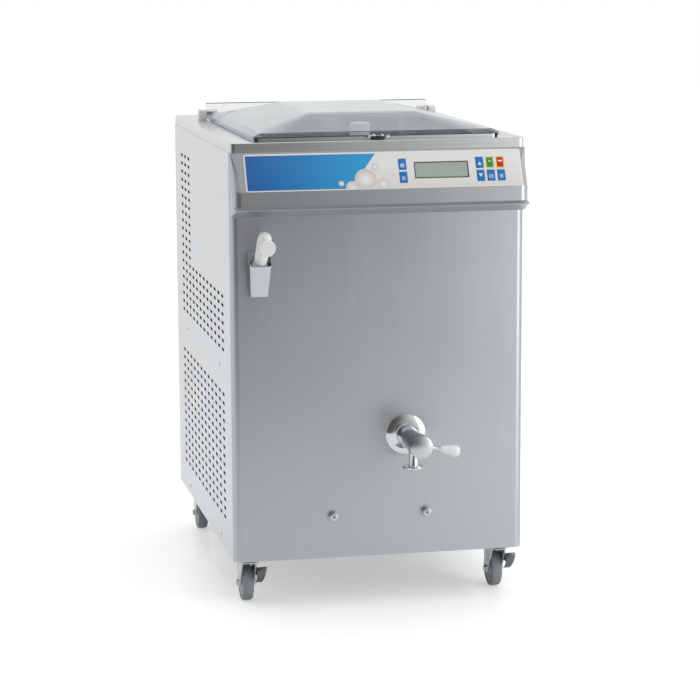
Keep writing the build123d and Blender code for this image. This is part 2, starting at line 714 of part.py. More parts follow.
# Lid with its rear band, hinge and front grip

lid_front = front_y(LID_FRONT)
lid_rear = lid_front + LID_LENGTH
hinge_y = front_y(HINGE_SETBACK)
hinge_z = TOP_HEIGHT + HINGE_RISE


def lid_solid(inset, floor_z):
    """Lid form: straight skirt, chamfered rim and hipped crown, drawn in by the sheet."""
    edge_z = TOP_HEIGHT + LID_EDGE_RISE - inset * 0.5
    rim_z = TOP_HEIGHT + LID_RIM_RISE - inset
    top_z = TOP_HEIGHT + LID_TOP_RISE - inset
    y0 = lid_front + inset
    y1 = lid_rear - inset
    rim_y1 = y1 - LID_RIM_INSET + inset * 0.4
    half = LID_HALF_WIDTH - inset
    rim_half = LID_HALF_WIDTH - LID_RIM_INSET - inset * 0.6
    skirt = block(-half, half, y0, y1, floor_z, edge_z)
    edge_face = Pos(0, (y0 + y1) / 2, edge_z) * Rectangle(2 * half, y1 - y0)
    rim_face = Pos(0, (y0 + rim_y1) / 2, rim_z) * Rectangle(2 * rim_half, rim_y1 - y0)
    edge = loft([edge_face, rim_face], ruled=True)
    top_y0 = front_y(LID_TOP_FRONT)
    top_y1 = front_y(LID_TOP_REAR)
    crown = rounded_loft(
        (0, (y0 + rim_y1) / 2, rim_z, 2 * rim_half, rim_y1 - y0, LID_HIP_RADIUS),
        (0, (top_y0 + top_y1) / 2, top_z, 2 * LID_TOP_HALF_WIDTH, top_y1 - top_y0, LID_TOP_RADIUS),
    )
    return skirt + edge + crown


def make_lid_shell():
    floor_z = TOP_HEIGHT + LID_SKIRT_GAP
    lid = lid_solid(0, floor_z) - lid_solid(LID_SHEET, floor_z - 1)
    inner_half = LID_HALF_WIDTH - LID_SHEET
    lid -= block(
        -inner_half, inner_half, lid_front - 1, lid_front + LID_SHEET + 1,
        floor_z - 1, TOP_HEIGHT + LID_EDGE_RISE,
    )
    lid -= block(
        -LID_HALF_WIDTH - 1, LID_HALF_WIDTH + 1, hinge_y, lid_rear + 1, floor_z - 1, floor_z + LID_SKIRT_GAP,
    )
    band = block(
        -LID_HALF_WIDTH, LID_HALF_WIDTH, lid_rear - BAND_THICKNESS, lid_rear,
        TOP_HEIGHT + LID_EDGE_RISE - 2, TOP_HEIGHT + BAND_RISE,
    )
    lid += band
    for side in (-1, 1):
        x0, x1 = sorted((side * GRIP_WIDTH / 2, side * (GRIP_WIDTH / 2 + WING_WIDTH)))
        wing = block(
            x0, x1, lid_front - GRIP_DEPTH * 0.6, lid_front,
            TOP_HEIGHT + LID_EDGE_RISE - GRIP_HEIGHT * 0.7, TOP_HEIGHT + LID_EDGE_RISE + 4,
        )
        lid += fillet(wing.edges().filter_by(Axis.X).group_by(Axis.Y)[0], 2.5)
        end = side * (LID_HALF_WIDTH + 0.5)
        x0, x1 = sorted((end, end - side * (KNUCKLE_LENGTH + 0.5)))
        lid -= along_x(x0, x1, hinge_y, hinge_z, KNUCKLE_DIAMETER)
    return lid


def make_lid_grip():
    low = TOP_HEIGHT + LID_EDGE_RISE - GRIP_HEIGHT
    half = GRIP_WIDTH / 2
    grip = block(-half, half, lid_front - GRIP_DEPTH, lid_front, low, low + GRIP_HEIGHT + 2)
    return fillet(grip.edges().filter_by(Axis.X).group_by(Axis.Y)[0], 2.5)


def make_hinge_pins():
    pins = []
    for side in (-1, 1):
        inner = LID_HALF_WIDTH - KNUCKLE_LENGTH
        outer = LID_HALF_WIDTH + 1.0
        x0, x1 = sorted((side * inner, side * outer))
        knuckle = along_x(x0, x1, hinge_y, hinge_z, KNUCKLE_DIAMETER)
        x0, x1 = sorted((side * outer, side * (outer + BLOCK_WIDTH * 0.85)))
        pins.append(knuckle + along_x(x0, x1, hinge_y, hinge_z, HINGE_PIN))
    return pins


def make_hinge_blocks():
    blocks = []
    for side in (-1, 1):
        inner = LID_HALF_WIDTH + 1.0 + TOUCH
        x0, x1 = sorted((side * inner, side * (inner + BLOCK_WIDTH)))
        y0, y1 = hinge_y - BLOCK_DEPTH / 2, hinge_y + BLOCK_DEPTH / 2
        body = block(x0, x1, y0, y1, TOP_HEIGHT, TOP_HEIGHT + BLOCK_HEIGHT)
        body = fillet(body.edges().filter_by(Axis.X).group_by(Axis.Z)[-1], 5.0)
        x0, x1 = sorted((side * (inner - 1), side * (inner + BLOCK_WIDTH * 0.9)))
        blocks.append(body - along_x(x0, x1, hinge_y, hinge_z, HINGE_PIN + 2 * RUNNING_FIT))
    return blocks


pieces["lid_shell"] = make_lid_shell()
pieces["lid_grip"] = make_lid_grip()
pieces["hinge_pins"] = make_hinge_pins()
pieces["hinge_blocks"] = make_hinge_blocks()


# Draw-off tap

def make_tap_flange():
    inner = TAP_BODY_DIAMETER / 2
    outer = FLANGE_DIAMETER / 2
    crown = inner + 6
    outline = Polyline(
        (inner, 0), (outer, 0), (outer, FLANGE_RIM), (crown, FLANGE_CROWN), (inner, FLANGE_CROWN), close=True,
    )
    disc = revolve(make_face(Plane.XZ * outline), Axis.Z)
    return Pos(TAP_X, FRONT, TAP_Z) * Rot(90, 0, 0) * disc


def make_tap_body():
    body = along_y(FRONT - TAP_BODY_REACH, FRONT + SHEET + 10, TAP_X, TAP_Z, TAP_BODY_DIAMETER)
    spout_y = FRONT - SPOUT_REACH
    body += upright(TAP_X, spout_y, SPOUT_END_Z, TAP_Z, SPOUT_DIAMETER)
    disc = upright(TAP_X, spout_y, SPOUT_END_Z + 2, SPOUT_END_Z + 2 + SPOUT_DISC, SPOUT_DISC_DIAMETER)
    body += fillet(disc.edges(), 1.0)
    body -= along_y(FRONT - TAP_BODY_REACH - 1, FRONT - PLUG_END_REACH, TAP_X, TAP_Z, TAP_BORE)
    body -= along_y(FRONT - PLUG_END_REACH - 1, FRONT + SHEET + 11, TAP_X, TAP_Z, TAP_PASSAGE)
    return body - upright(TAP_X, spout_y, SPOUT_END_Z - 1, TAP_Z, SPOUT_BORE)


def make_tap_plug():
    """Turned plug and end cap in one piece; its port looks left while the tap is shut."""
    joint_y = FRONT - TAP_BODY_REACH - TOUCH
    plug = along_y(joint_y, FRONT - PLUG_END_REACH - TOUCH, TAP_X, TAP_Z, TAP_BORE - 2 * RUNNING_FIT)
    cap = along_y(FRONT - TAP_REACH, joint_y, TAP_X, TAP_Z, CAP_DIAMETER)
    plug += fillet(cap.edges(), 2.0)
    plug -= along_y(FRONT - SPOUT_REACH - 6, FRONT - PLUG_END_REACH + 1, TAP_X, TAP_Z, SPOUT_BORE)
    plug -= along_x(TAP_X - TAP_BORE, TAP_X, FRONT - SPOUT_REACH, TAP_Z, SPOUT_BORE)
    return plug - lever_place() * Pos(0, 0, LEVER_ROOT + 25) * Cylinder(LEVER_DIAMETER / 2, 50)


def lever_place():
    """Frame whose Z runs out along the lever, from the tap's own axis."""
    return Pos(TAP_X, FRONT - LEVER_REACH, TAP_Z) * Rot(0, 90 + LEVER_DROOP, 0)


def make_tap_lever():
    length = KNOB_START + KNOB_BORE - LEVER_ROOT
    return lever_place() * Pos(0, 0, LEVER_ROOT + length / 2) * Cylinder(LEVER_DIAMETER / 2, length)


def make_tap_knob():
    start = KNOB_START
    belly = start + KNOB_LENGTH * 0.66
    end = start + KNOB_LENGTH
    side = Spline(
        (KNOB_NECK / 2, start), (KNOB_DIAMETER / 2, belly), (0, end), tangents=((0.35, 1), (-1, 0)),
    )
    outline = side + Polyline((0, end), (0, start), (KNOB_NECK / 2, start))
    knob = revolve(make_face(Plane.XZ * outline), Axis.Z)
    knob -= Pos(0, 0, start + KNOB_BORE / 2) * Cylinder(LEVER_DIAMETER / 2, KNOB_BORE)
    return lever_place() * knob


pieces["tap_flange"] = make_tap_flange()
pieces["tap_body"] = make_tap_body()
pieces["tap_plug"] = make_tap_plug()
pieces["tap_lever"] = make_tap_lever()
pieces["tap_knob"] = make_tap_knob()


# Hand shower in its pocket

def pocket_solid(inset, top_extra):
    """Tapered pocket form: wide and deep at the mouth, narrow at the foot."""
    low_z = HOLDER_TOP_Z - HOLDER_HEIGHT + inset
    high_z = HOLDER_TOP_Z + top_extra
    grow = top_extra / HOLDER_HEIGHT
    top_out = HOLDER_TOP_OUT + (HOLDER_TOP_OUT - HOLDER_BOTTOM_OUT) * grow - inset
    low_out = HOLDER_BOTTOM_OUT - inset
    top_width = HOLDER_TOP_WIDTH - 2 * inset
    low_width = HOLDER_BOTTOM_WIDTH - 2 * inset
    radius = 4.0 - inset
    back = FRONT - inset
    low = RectangleRounded(low_width, low_out - inset, radius)
    high = RectangleRounded(top_width, top_out - inset, radius)
    low_place = Pos(HOLDER_X, (back + FRONT - low_out) / 2, low_z)
    high_place = Pos(HOLDER_X, (back + FRONT - top_out) / 2, high_z)
    return loft([low_place * low, high_place * high], ruled=True)


def make_shower_holder():
    pocket = pocket_solid(0, 0) - pocket_solid(SHEET, 2)
    span = HOLDER_TOP_OUT * 4
    above = Pos(0, 0, HOLDER_HEIGHT / 2) * Box(span, span, HOLDER_HEIGHT)
    pocket -= Pos(HOLDER_X, FRONT, HOLDER_TOP_Z) * Rot(HOLDER_MOUTH_SLOPE, 0, 0) * above
    seat = shower_place() * Pos(0, 0, -SHEET / 2) * Box(span, span, SHEET)
    seat = seat & pocket_solid(SHEET / 2, 0)
    seat -= shower_place() * Cylinder(SHOWER_SEAT_HOLE / 2, span)
    return pocket + seat


def shower_place():
    """Frame whose Z runs up the leaning handset, from its seat in the pocket."""
    return Pos(HOLDER_X, FRONT - SHOWER_SEAT_OUT, SHOWER_SEAT_Z) * Rot(SHOWER_LEAN, 0, 0)


def make_shower_body():
    body = Pos(0, 0, SHOWER_LENGTH / 2) * Cylinder(SHOWER_DIAMETER / 2, SHOWER_LENGTH)
    body = fillet(body.edges().group_by(Axis.Z)[-1], SHOWER_DIAMETER / 2 - 2)
    collar = Pos(0, 0, 3) * Cylinder(SHOWER_COLLAR_DIAMETER / 2, 6)
    tail = Pos(0, 0, -SHOWER_TAIL_LENGTH / 2) * Cylinder(SHOWER_TAIL_DIAMETER / 2, SHOWER_TAIL_LENGTH)
    body += fillet(collar.edges(), 1.5) + tail
    body -= spray_form()
    return shower_place() * body


def spray_form():
    """Spray head: a short drum that looks out to the front."""
    drum = Cylinder(SPRAY_DIAMETER / 2, SPRAY_REACH)
    drum = fillet(drum.edges().group_by(Axis.Z)[-1], 3.0)
    return Pos(0, -SPRAY_REACH / 2, SPRAY_HEIGHT) * Rot(90 - SHOWER_LEAN * 0.4, 0, 0) * drum


def make_shower_head():
    return shower_place() * spray_form()


pieces["shower_holder"] = make_shower_holder()
pieces["shower_body"] = make_shower_body()
pieces["shower_head"] = make_shower_head()


# Castors

castor_places = {
    "front_left": (-CASTOR_X, FRONT + CASTOR_FRONT - TRAIL, True),
    "front_right": (CASTOR_X, FRONT + CASTOR_FRONT - TRAIL, True),
    "rear_left": (-CASTOR_X, REAR - CASTOR_REAR - TRAIL, False),
    "rear_right": (CASTOR_X, REAR - CASTOR_REAR - TRAIL, False),
}
axle_z = WHEEL_DIAMETER / 2
race_low = PANEL_BOTTOM - CASTOR_PLATE - RACE_HEIGHT
crown_top = race_low - TOUCH


def make_castor_plates():
    plates = []
    for x, y, braked in castor_places.values():
        plate = Pos(x, y, PANEL_BOTTOM - CASTOR_PLATE / 2) * Box(CASTOR_PLATE_X, CASTOR_PLATE_Y, CASTOR_PLATE)
        plate = fillet(plate.edges().filter_by(Axis.Z), 6.0)
        plate += upright(x, y, race_low, PANEL_BOTTOM - CASTOR_PLATE, RACE_DIAMETER)
        plate += upright(x, y, crown_top - FORK_SHEET - 5, race_low, KINGPIN)
        plates.append(plate)
    return plates


def make_castor_fork(x, y):
    """Pressed fork with its crown, two legs and the axle bolt."""
    crown = upright(x, y, crown_top - FORK_SHEET, crown_top, RACE_DIAMETER + 4)
    low_z = crown_top - FORK_SHEET
    half = FORK_GAP / 2 + FORK_SHEET
    crown += block(x - half, x + half, y - 20, y + 24, low_z, crown_top)
    axle_y = y + TRAIL
    outline = Polyline(
        (y - 20, crown_top), (y + 24, crown_top), (axle_y + 13, axle_z + 4), (axle_y + 8, axle_z - 11),
        (axle_y - 8, axle_z - 11), (axle_y - 14, axle_z + 3), (y - 16, crown_top - 18), close=True,
    )
    fork = crown - upright(x, y, low_z - 1, crown_top + 1, KINGPIN + 2 * RUNNING_FIT)
    for side in (-1, 1):
        start = x + side * FORK_GAP / 2 - (FORK_SHEET if side < 0 else 0)
        leg = extrude(side_plane(start) * make_face(outline), FORK_SHEET)
        fork += leg
        head0, head1 = sorted((x + side * half, x + side * (half + 5)))
        fork += along_x(head0, head1, axle_y, axle_z, AXLE_DIAMETER + 6)
    return fork + along_x(x - FORK_GAP / 2, x + FORK_GAP / 2, axle_y, axle_z, AXLE_DIAMETER)


def make_castor_wheel(x, y):
    """Moulded wheel centre: a rim and a barrel joined by a thin web."""
    axle_y = y + TRAIL
    rim = along_x(x - TYRE_WIDTH * 0.42, x + TYRE_WIDTH * 0.42, axle_y, axle_z, TYRE_INNER)
    rim -= along_x(x + WHEEL_WEB / 2, x + TYRE_WIDTH, axle_y, axle_z, TYRE_INNER - 8)
    rim -= along_x(x - TYRE_WIDTH, x - WHEEL_WEB / 2, axle_y, axle_z, TYRE_INNER - 8)
    wheel = rim + along_x(x - HUB_WIDTH / 2, x + HUB_WIDTH / 2, axle_y, axle_z, HUB_BARREL)
    return wheel - along_x(x - HUB_WIDTH, x + HUB_WIDTH, axle_y, axle_z, AXLE_DIAMETER + 2 * RUNNING_FIT)


def make_castor_tyre(x, y):
    axle_y = y + TRAIL
    tyre = along_x(x - TYRE_WIDTH / 2, x + TYRE_WIDTH / 2, axle_y, axle_z, WHEEL_DIAMETER)
    tyre = fillet(tyre.edges(), 5.0)
    return tyre - along_x(x - TYRE_WIDTH, x + TYRE_WIDTH, axle_y, axle_z, TYRE_INNER)


def make_brake_pedal(x, y):
    """Curved toe pedal beside the inner fork leg, on its own pivot pin."""
    inner = x + FORK_GAP / 2 + FORK_SHEET + TOUCH
    pivot_y = y + PEDAL_BACK
    arc = CenterArc((pivot_y, PEDAL_PIVOT_Z), PEDAL_RADIUS, 180, 80)
    outline = make_face(offset(arc, PEDAL_SHEET / 2, side=Side.BOTH))
    pedal = extrude(side_plane(inner) * outline, PEDAL_WIDTH)
    cheek = make_face(Polyline(
        (pivot_y - 7, PEDAL_PIVOT_Z - 6), (pivot_y + 7, PEDAL_PIVOT_Z - 6), (pivot_y + 7, PEDAL_PIVOT_Z + 7),
        (pivot_y - PEDAL_RADIUS, PEDAL_PIVOT_Z + 2), (pivot_y - PEDAL_RADIUS, PEDAL_PIVOT_Z - 8), close=True,
    ))
    pedal += extrude(side_plane(inner) * cheek, PEDAL_SHEET)
    pin = along_x(inner - TOUCH, inner + PEDAL_SHEET + 4, pivot_y, PEDAL_PIVOT_Z, PEDAL_PIN)
    return pedal, pin


pieces["castor_plates"] = make_castor_plates()
for corner, (castor_x, castor_y, braked) in castor_places.items():
    fork = make_castor_fork(castor_x, castor_y)
    if braked:
        pedal, pin = make_brake_pedal(castor_x, castor_y)
        fork += pin
        bore = along_x(
            castor_x, castor_x + WIDTH, castor_y + PEDAL_BACK, PEDAL_PIVOT_Z, PEDAL_PIN + 2 * RUNNING_FIT,
        )
        pieces["brake_pedal_" + corner] = pedal - bore
    pieces["castor_fork_" + corner] = fork
    pieces["castor_wheel_" + corner] = make_castor_wheel(castor_x, castor_y)
    pieces["castor_tyre_" + corner] = make_castor_tyre(castor_x, castor_y)


# Cooling unit, electrical box and rear fittings

condenser_x = LEFT + CONDENSER_SIDE_GAP
condenser_y = front_y(CONDENSER_SETBACK)
unit_z = FLOOR_PAN_Z + 16.0
fan_x = condenser_x + CONDENSER_THICKNESS + 22.0
fan_z = unit_z + CONDENSER_HEIGHT / 2
compressor_x = LEFT + COMPRESSOR_SIDE_GAP
compressor_y = front_y(COMPRESSOR_SETBACK)


def make_compressor():
    low = FLOOR_PAN_Z + 12
    shell = upright(compressor_x, compressor_y, low, low + COMPRESSOR_HEIGHT, COMPRESSOR_DIAMETER)
    shell = fillet(shell.edges().group_by(Axis.Z)[-1], 45.0)
    shell += upright(compressor_x, compressor_y, low + 95, low + 103, COMPRESSOR_DIAMETER + 12)
    foot = COMPRESSOR_DIAMETER * 1.15
    base = Pos(compressor_x, compressor_y, low + 3) * Box(foot, foot, 6)
    shell += fillet(base.edges().filter_by(Axis.Z), 20.0)
    for dx in (-1, 1):
        for dy in (-1, 1):
            foot_x, foot_y = compressor_x + dx * foot * 0.4, compressor_y + dy * foot * 0.4
            shell += upright(foot_x, foot_y, FLOOR_PAN_Z, low + 1, 22.0)
    side = compressor_x + COMPRESSOR_DIAMETER / 2
    return shell + along_x(side - 5, side + 18, compressor_y, low + 150, 14.0)


def make_condenser():
    """Finned coil between two end plates on a foot."""
    y0 = condenser_y - CONDENSER_LENGTH / 2
    y1 = condenser_y + CONDENSER_LENGTH / 2
    x1 = condenser_x + CONDENSER_THICKNESS
    coil = block(condenser_x + 14, x1 - 14, y0, y1, unit_z, unit_z + CONDENSER_HEIGHT)
    pitch = CONDENSER_LENGTH / CONDENSER_FINS
    for index in range(CONDENSER_FINS + 1):
        middle = y0 + index * pitch
        coil += block(condenser_x + 2, x1 - 2, middle - 2, middle + 2, unit_z, unit_z + CONDENSER_HEIGHT)
    return coil + block(condenser_x, x1, y0 - 2, y1 + 2, FLOOR_PAN_Z, unit_z)


def make_fan():
    hub = along_x(fan_x - 12, fan_x + 12, condenser_y, fan_z, 60.0)
    fan = hub
    for index in range(FAN_BLADES):
        blade = Pos(0, 0, FAN_DIAMETER / 4) * Rot(0, 0, 32) * Box(3, 62, FAN_DIAMETER / 2 - 4)
        fan += Pos(fan_x, condenser_y, fan_z) * Rot(360 / FAN_BLADES * index, 0, 0) * blade
    sweep = along_x(fan_x - 40, fan_x + 40, condenser_y, fan_z, FAN_DIAMETER)
    fan = fan & sweep
    return fan - along_x(fan_x - 20, fan_x + 13, condenser_y, fan_z, FAN_SHAFT + 2 * RUNNING_FIT)


def make_fan_motor():
    """Fan motor on a pedestal, its shaft carrying the fan hub."""
    face = fan_x + 24
    motor = along_x(face, face + 70, condenser_y, fan_z, 80.0)
    motor += along_x(fan_x - 12, face, condenser_y, fan_z, FAN_SHAFT)
    motor += block(face + 20, face + 50, condenser_y - 25, condenser_y + 25, FLOOR_PAN_Z, fan_z - 30)
    foot = block(face + 5, face + 65, condenser_y - 45, condenser_y + 45, FLOOR_PAN_Z, FLOOR_PAN_Z + 5)
    return motor + foot


def make_electrical_box():
    """Box on the inside of the right panel, its lid towards the tank."""
    lid_x = TANK_WIDTH / 2 + JACKET + BOX_CLEARANCE
    y0, y1 = front_y(BOX_SETBACK), front_y(BOX_SETBACK + BOX_LENGTH)
    top = BOX_BOTTOM_Z + BOX_HEIGHT
    box = block(lid_x + BOX_LID, RIGHT - SHEET, y0, y1, BOX_BOTTOM_Z, top)
    box = fillet(box.edges().filter_by(Axis.X), BOX_LID_INSET)
    return box + block(
        lid_x, lid_x + BOX_LID, y0 + BOX_LID_INSET, y1 - BOX_LID_INSET, BOX_BOTTOM_Z + BOX_LID_INSET,
        top - BOX_LID_INSET,
    )


def make_water_inlet():
    """Hollow threaded stub with a hexagon against the rear panel."""
    stub = along_y(REAR - SHEET - 14, REAR + FITTING_REACH, WATER_X, WATER_Z, WATER_DIAMETER)
    hexagon = extrude(Plane((WATER_X, REAR + 8, WATER_Z), z_dir=(0, -1, 0)) * RegularPolygon(19, 6), 8)
    return stub + hexagon - along_y(REAR - 20, REAR + FITTING_REACH + 1, WATER_X, WATER_Z, WATER_BORE)


def make_cable_gland():
    body = along_y(REAR, REAR + 8, GLAND_X, WATER_Z, GLAND_DIAMETER + 4)
    body += along_y(REAR - SHEET - 10, REAR, GLAND_X, WATER_Z, GLAND_DIAMETER - 4)
    dome = along_y(REAR + 8, REAR + 22, GLAND_X, WATER_Z, GLAND_DIAMETER)
    body += fillet(dome.edges().group_by(Axis.Y)[-1], 5.0)
    return body - along_y(REAR - 20, REAR + 30, GLAND_X, WATER_Z, GLAND_BORE)


pieces["compressor"] = make_compressor()
pieces["condenser"] = make_condenser()
pieces["fan"] = make_fan()
pieces["fan_motor"] = make_fan_motor()
pieces["electrical_box"] = make_electrical_box()
pieces["water_inlet"] = make_water_inlet()
pieces["cable_gland"] = make_cable_gland()

for name, shape in pieces.items():
    solids = shape if isinstance(shape, list) else shape.solids()
    export_step(Compound(children=list(solids)), "parts/" + name + ".step")

print(len(pieces), "nodes")
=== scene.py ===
from math import cos, hypot, pi, radians, sin

import bpy
from mathutils import Matrix, Vector


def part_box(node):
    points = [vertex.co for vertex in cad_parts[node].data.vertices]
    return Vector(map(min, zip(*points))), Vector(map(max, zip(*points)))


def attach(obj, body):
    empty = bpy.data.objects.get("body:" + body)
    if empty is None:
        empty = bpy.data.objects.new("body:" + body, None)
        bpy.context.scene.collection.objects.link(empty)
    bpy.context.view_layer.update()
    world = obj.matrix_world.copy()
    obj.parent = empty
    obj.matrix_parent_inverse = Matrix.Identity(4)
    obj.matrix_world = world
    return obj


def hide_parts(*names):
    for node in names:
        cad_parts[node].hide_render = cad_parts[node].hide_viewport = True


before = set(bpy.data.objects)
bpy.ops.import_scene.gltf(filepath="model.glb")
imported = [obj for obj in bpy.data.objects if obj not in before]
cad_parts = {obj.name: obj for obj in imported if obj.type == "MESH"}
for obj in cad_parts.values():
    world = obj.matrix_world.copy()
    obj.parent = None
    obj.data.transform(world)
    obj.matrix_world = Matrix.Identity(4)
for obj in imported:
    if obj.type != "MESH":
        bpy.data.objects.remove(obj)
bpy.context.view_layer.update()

# Sizes are in millimetres and become metres through this factor.
MM = 0.001


# Where the CAD pieces are, in millimetres

def low(node):
    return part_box(node)[0] / MM


def high(node):
    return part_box(node)[1] / MM


front = low("front_panel").y
rear = high("side_panel_left").y
left = low("side_panel_left").x
right = high("side_panel_right").x
plate_top = high("front_panel").z + 21.5
rim_bottom = low("top_plate").z
sill_x = 266.0
sill_top = high("lid_seal").z - 1.2
panel_bottom = low("front_panel").z


# Camera, at the photograph's viewing angle

def place_camera():
    azimuth, elevation, roll = 0.2063, 0.1701, -0.00435
    ahead = Vector((sin(azimuth) * cos(elevation), cos(azimuth) * cos(elevation), -sin(elevation)))
    level = Vector((cos(azimuth), -sin(azimuth), 0))
    upward = level.cross(ahead)
    across = cos(roll) * level + sin(roll) * upward
    upright = cos(roll) * upward - sin(roll) * level
    camera = bpy.data.cameras.new("camera")
    camera.sensor_width = 36
    camera.lens = 124.15
    camera.clip_end = 60
    holder = bpy.data.objects.new("camera", camera)
    bpy.context.scene.collection.objects.link(holder)
    turn = Matrix((across, upright, -ahead)).transposed()
    spot = Vector((-1125.4, front - 5064.3, 1461.1)) * MM
    holder.matrix_world = Matrix.Translation(spot) @ turn.to_4x4()
    bpy.context.scene.camera = holder


# Helpers for nodes and colours

def linear(code, alpha=1.0):
    """Linear colour of an sRGB hex value."""
    channels = [int(code[i:i + 2], 16) / 255 for i in (1, 3, 5)]
    return [c / 12.92 if c <= 0.04045 else ((c + 0.055) / 1.055) ** 2.4 for c in channels] + [alpha]


def add(tree, kind, settings=None, **inputs):
    """Adds a node; each input takes a value or another node's socket."""
    made = tree.nodes.new(kind)
    for name, value in (settings or {}).items():
        setattr(made, name, value)
    for name, value in inputs.items():
        key = int(name[1:]) if name[0] == "i" and name[1:].isdigit() else name.replace("_", " ")
        if isinstance(value, bpy.types.NodeSocket):
            tree.links.new(value, made.inputs[key])
        else:
            made.inputs[key].default_value = value
    return made


def shade_of(code, factor):
    """A colour made a little darker or lighter."""
    return [min(1, channel * factor) for channel in linear(code)[:3]] + [1]


def new_material(name):
    made = bpy.data.materials.new(name)
    made.use_nodes = True
    made.node_tree.nodes.clear()
    return made, made.node_tree


# Materials

def brushed_sheet(name, code, roughness, scale, depth=0.04):
    """Stainless steel sheet, ground with a belt: a soft metal sheen that is drawn out along the grain."""
    made, tree = new_material(name)
    spot = add(tree, "ShaderNodeTexCoord")
    drawn = add(tree, "ShaderNodeMapping", None, Vector=spot.outputs["Object"], Scale=scale)
    lines = add(tree, "ShaderNodeTexNoise", None, Vector=drawn.outputs[0], Scale=1.0, Detail=3.0)
    clouds = add(tree, "ShaderNodeTexNoise", None, Vector=spot.outputs["Object"], Scale=3.0, Detail=1.0)
    both = add(tree, "ShaderNodeMath", {"operation": "ADD"}, i0=lines.outputs[0], i1=clouds.outputs[0])
    even = add(tree, "ShaderNodeMath", {"operation": "MULTIPLY"}, i0=both.outputs[0], i1=0.5)
    tone = add(
        tree, "ShaderNodeMix", {"data_type": "RGBA"}, i0=even.outputs[0],
        i6=shade_of(code, 0.93), i7=shade_of(code, 1.07),
    )
    dull = add(
        tree, "ShaderNodeMapRange", None, i0=even.outputs[0], i1=0.3, i2=0.7,
        i3=roughness - 0.04, i4=roughness + 0.05,
    )
    bump = add(tree, "ShaderNodeBump", None, Strength=depth, Distance=0.0004, Height=lines.outputs[0])
    shader = add(
        tree, "ShaderNodeBsdfPrincipled", None, Base_Color=tone.outputs[2], Metallic=1.0,
        Roughness=dull.outputs[0], Normal=bump.outputs[0],
    )
    add(tree, "ShaderNodeOutputMaterial", None, Surface=shader.outputs[0])
    return made


def polished_metal(name, code, roughness):
    """Polished or plated metal: sharp dark and light reflections with faint polishing marks."""
    made, tree = new_material(name)
    spot = add(tree, "ShaderNodeTexCoord")
    marks = add(tree, "ShaderNodeTexNoise", None, Vector=spot.outputs["Object"], Scale=900.0, Detail=3.0)
    dull = add(
        tree, "ShaderNodeMapRange", None, i0=marks.outputs[0], i1=0.3, i2=0.7,
        i3=roughness * 0.8, i4=roughness * 1.3,
    )
    bump = add(tree, "ShaderNodeBump", None, Strength=0.02, Distance=0.0002, Height=marks.outputs[0])
    shader = add(
        tree, "ShaderNodeBsdfPrincipled", None, Base_Color=linear(code), Metallic=1.0,
        Roughness=dull.outputs[0], Normal=bump.outputs[0],
    )
    add(tree, "ShaderNodeOutputMaterial", None, Surface=shader.outputs[0])
    return made


def moulded_plastic(name, code, roughness, depth=0.05, grain_mm=1.2):
    """Injection moulded plastic: an even colour with a fine pebble from the mould."""
    made, tree = new_material(name)
    spot = add(tree, "ShaderNodeTexCoord")
    pebble = add(
        tree, "ShaderNodeTexNoise", None, Vector=spot.outputs["Object"], Scale=1000 / grain_mm, Detail=2.0,
    )
    clouds = add(tree, "ShaderNodeTexNoise", None, Vector=spot.outputs["Object"], Scale=25.0, Detail=1.0)
    tone = add(
        tree, "ShaderNodeMix", {"data_type": "RGBA"}, i0=clouds.outputs[0],
        i6=shade_of(code, 0.95), i7=shade_of(code, 1.05),
    )
    dull = add(
        tree, "ShaderNodeMapRange", None, i0=pebble.outputs[0], i1=0.3, i2=0.7,
        i3=roughness - 0.04, i4=roughness + 0.06,
    )
    bump = add(tree, "ShaderNodeBump", None, Strength=depth, Distance=0.0002, Height=pebble.outputs[0])
    shader = add(
        tree, "ShaderNodeBsdfPrincipled", None, Base_Color=tone.outputs[2],
        Roughness=dull.outputs[0], Normal=bump.outputs[0],
    )
    add(tree, "ShaderNodeOutputMaterial", None, Surface=shader.outputs[0])
    return made


def clear_moulding():
    """Vacuum formed polycarbonate: clear when looked into; towards a low angle it turns pale and opaque, a
    painted reflection.
    """
    made, tree = new_material("polycarbonate_clear_lid")
    spot = add(tree, "ShaderNodeTexCoord")
    waves = add(tree, "ShaderNodeTexNoise", None, Vector=spot.outputs["Object"], Scale=14.0, Detail=1.0)
    bump = add(tree, "ShaderNodeBump", None, Strength=0.03, Distance=0.002, Height=waves.outputs[0])
    # Alpha rises with the angle of view: painted reflection, a pale opaque skin in place of the sheet's
    # glancing reflections.
    angle = add(tree, "ShaderNodeLayerWeight", None, Blend=0.5)
    glancing_reflection_paint = add(tree, "ShaderNodeValToRGB", None, Fac=angle.outputs["Facing"])
    stops = glancing_reflection_paint.color_ramp.elements
    for facing, cover in ((0.0, 0.14), (0.66, 0.16), (0.74, 0.42), (0.80, 0.66), (0.86, 0.78)):
        stop = stops.new(facing) if facing else stops[0]
        stop.color = (cover, cover, cover, 1)
    stops[-1].color = (0.85, 0.85, 0.85, 1)
    dull = add(tree, "ShaderNodeMapRange", None, i0=waves.outputs[0], i1=0.3, i2=0.7, i3=0.08, i4=0.16)
    shader = add(
        tree, "ShaderNodeBsdfPrincipled", None, Base_Color=linear("#BCC3C7"), IOR=1.58,
        Specular_IOR_Level=0.3, Roughness=dull.outputs[0], Alpha=glancing_reflection_paint.outputs[0], Normal=bump.outputs[0],
    )
    add(tree, "ShaderNodeOutputMaterial", None, Surface=shader.outputs[0])
    return made


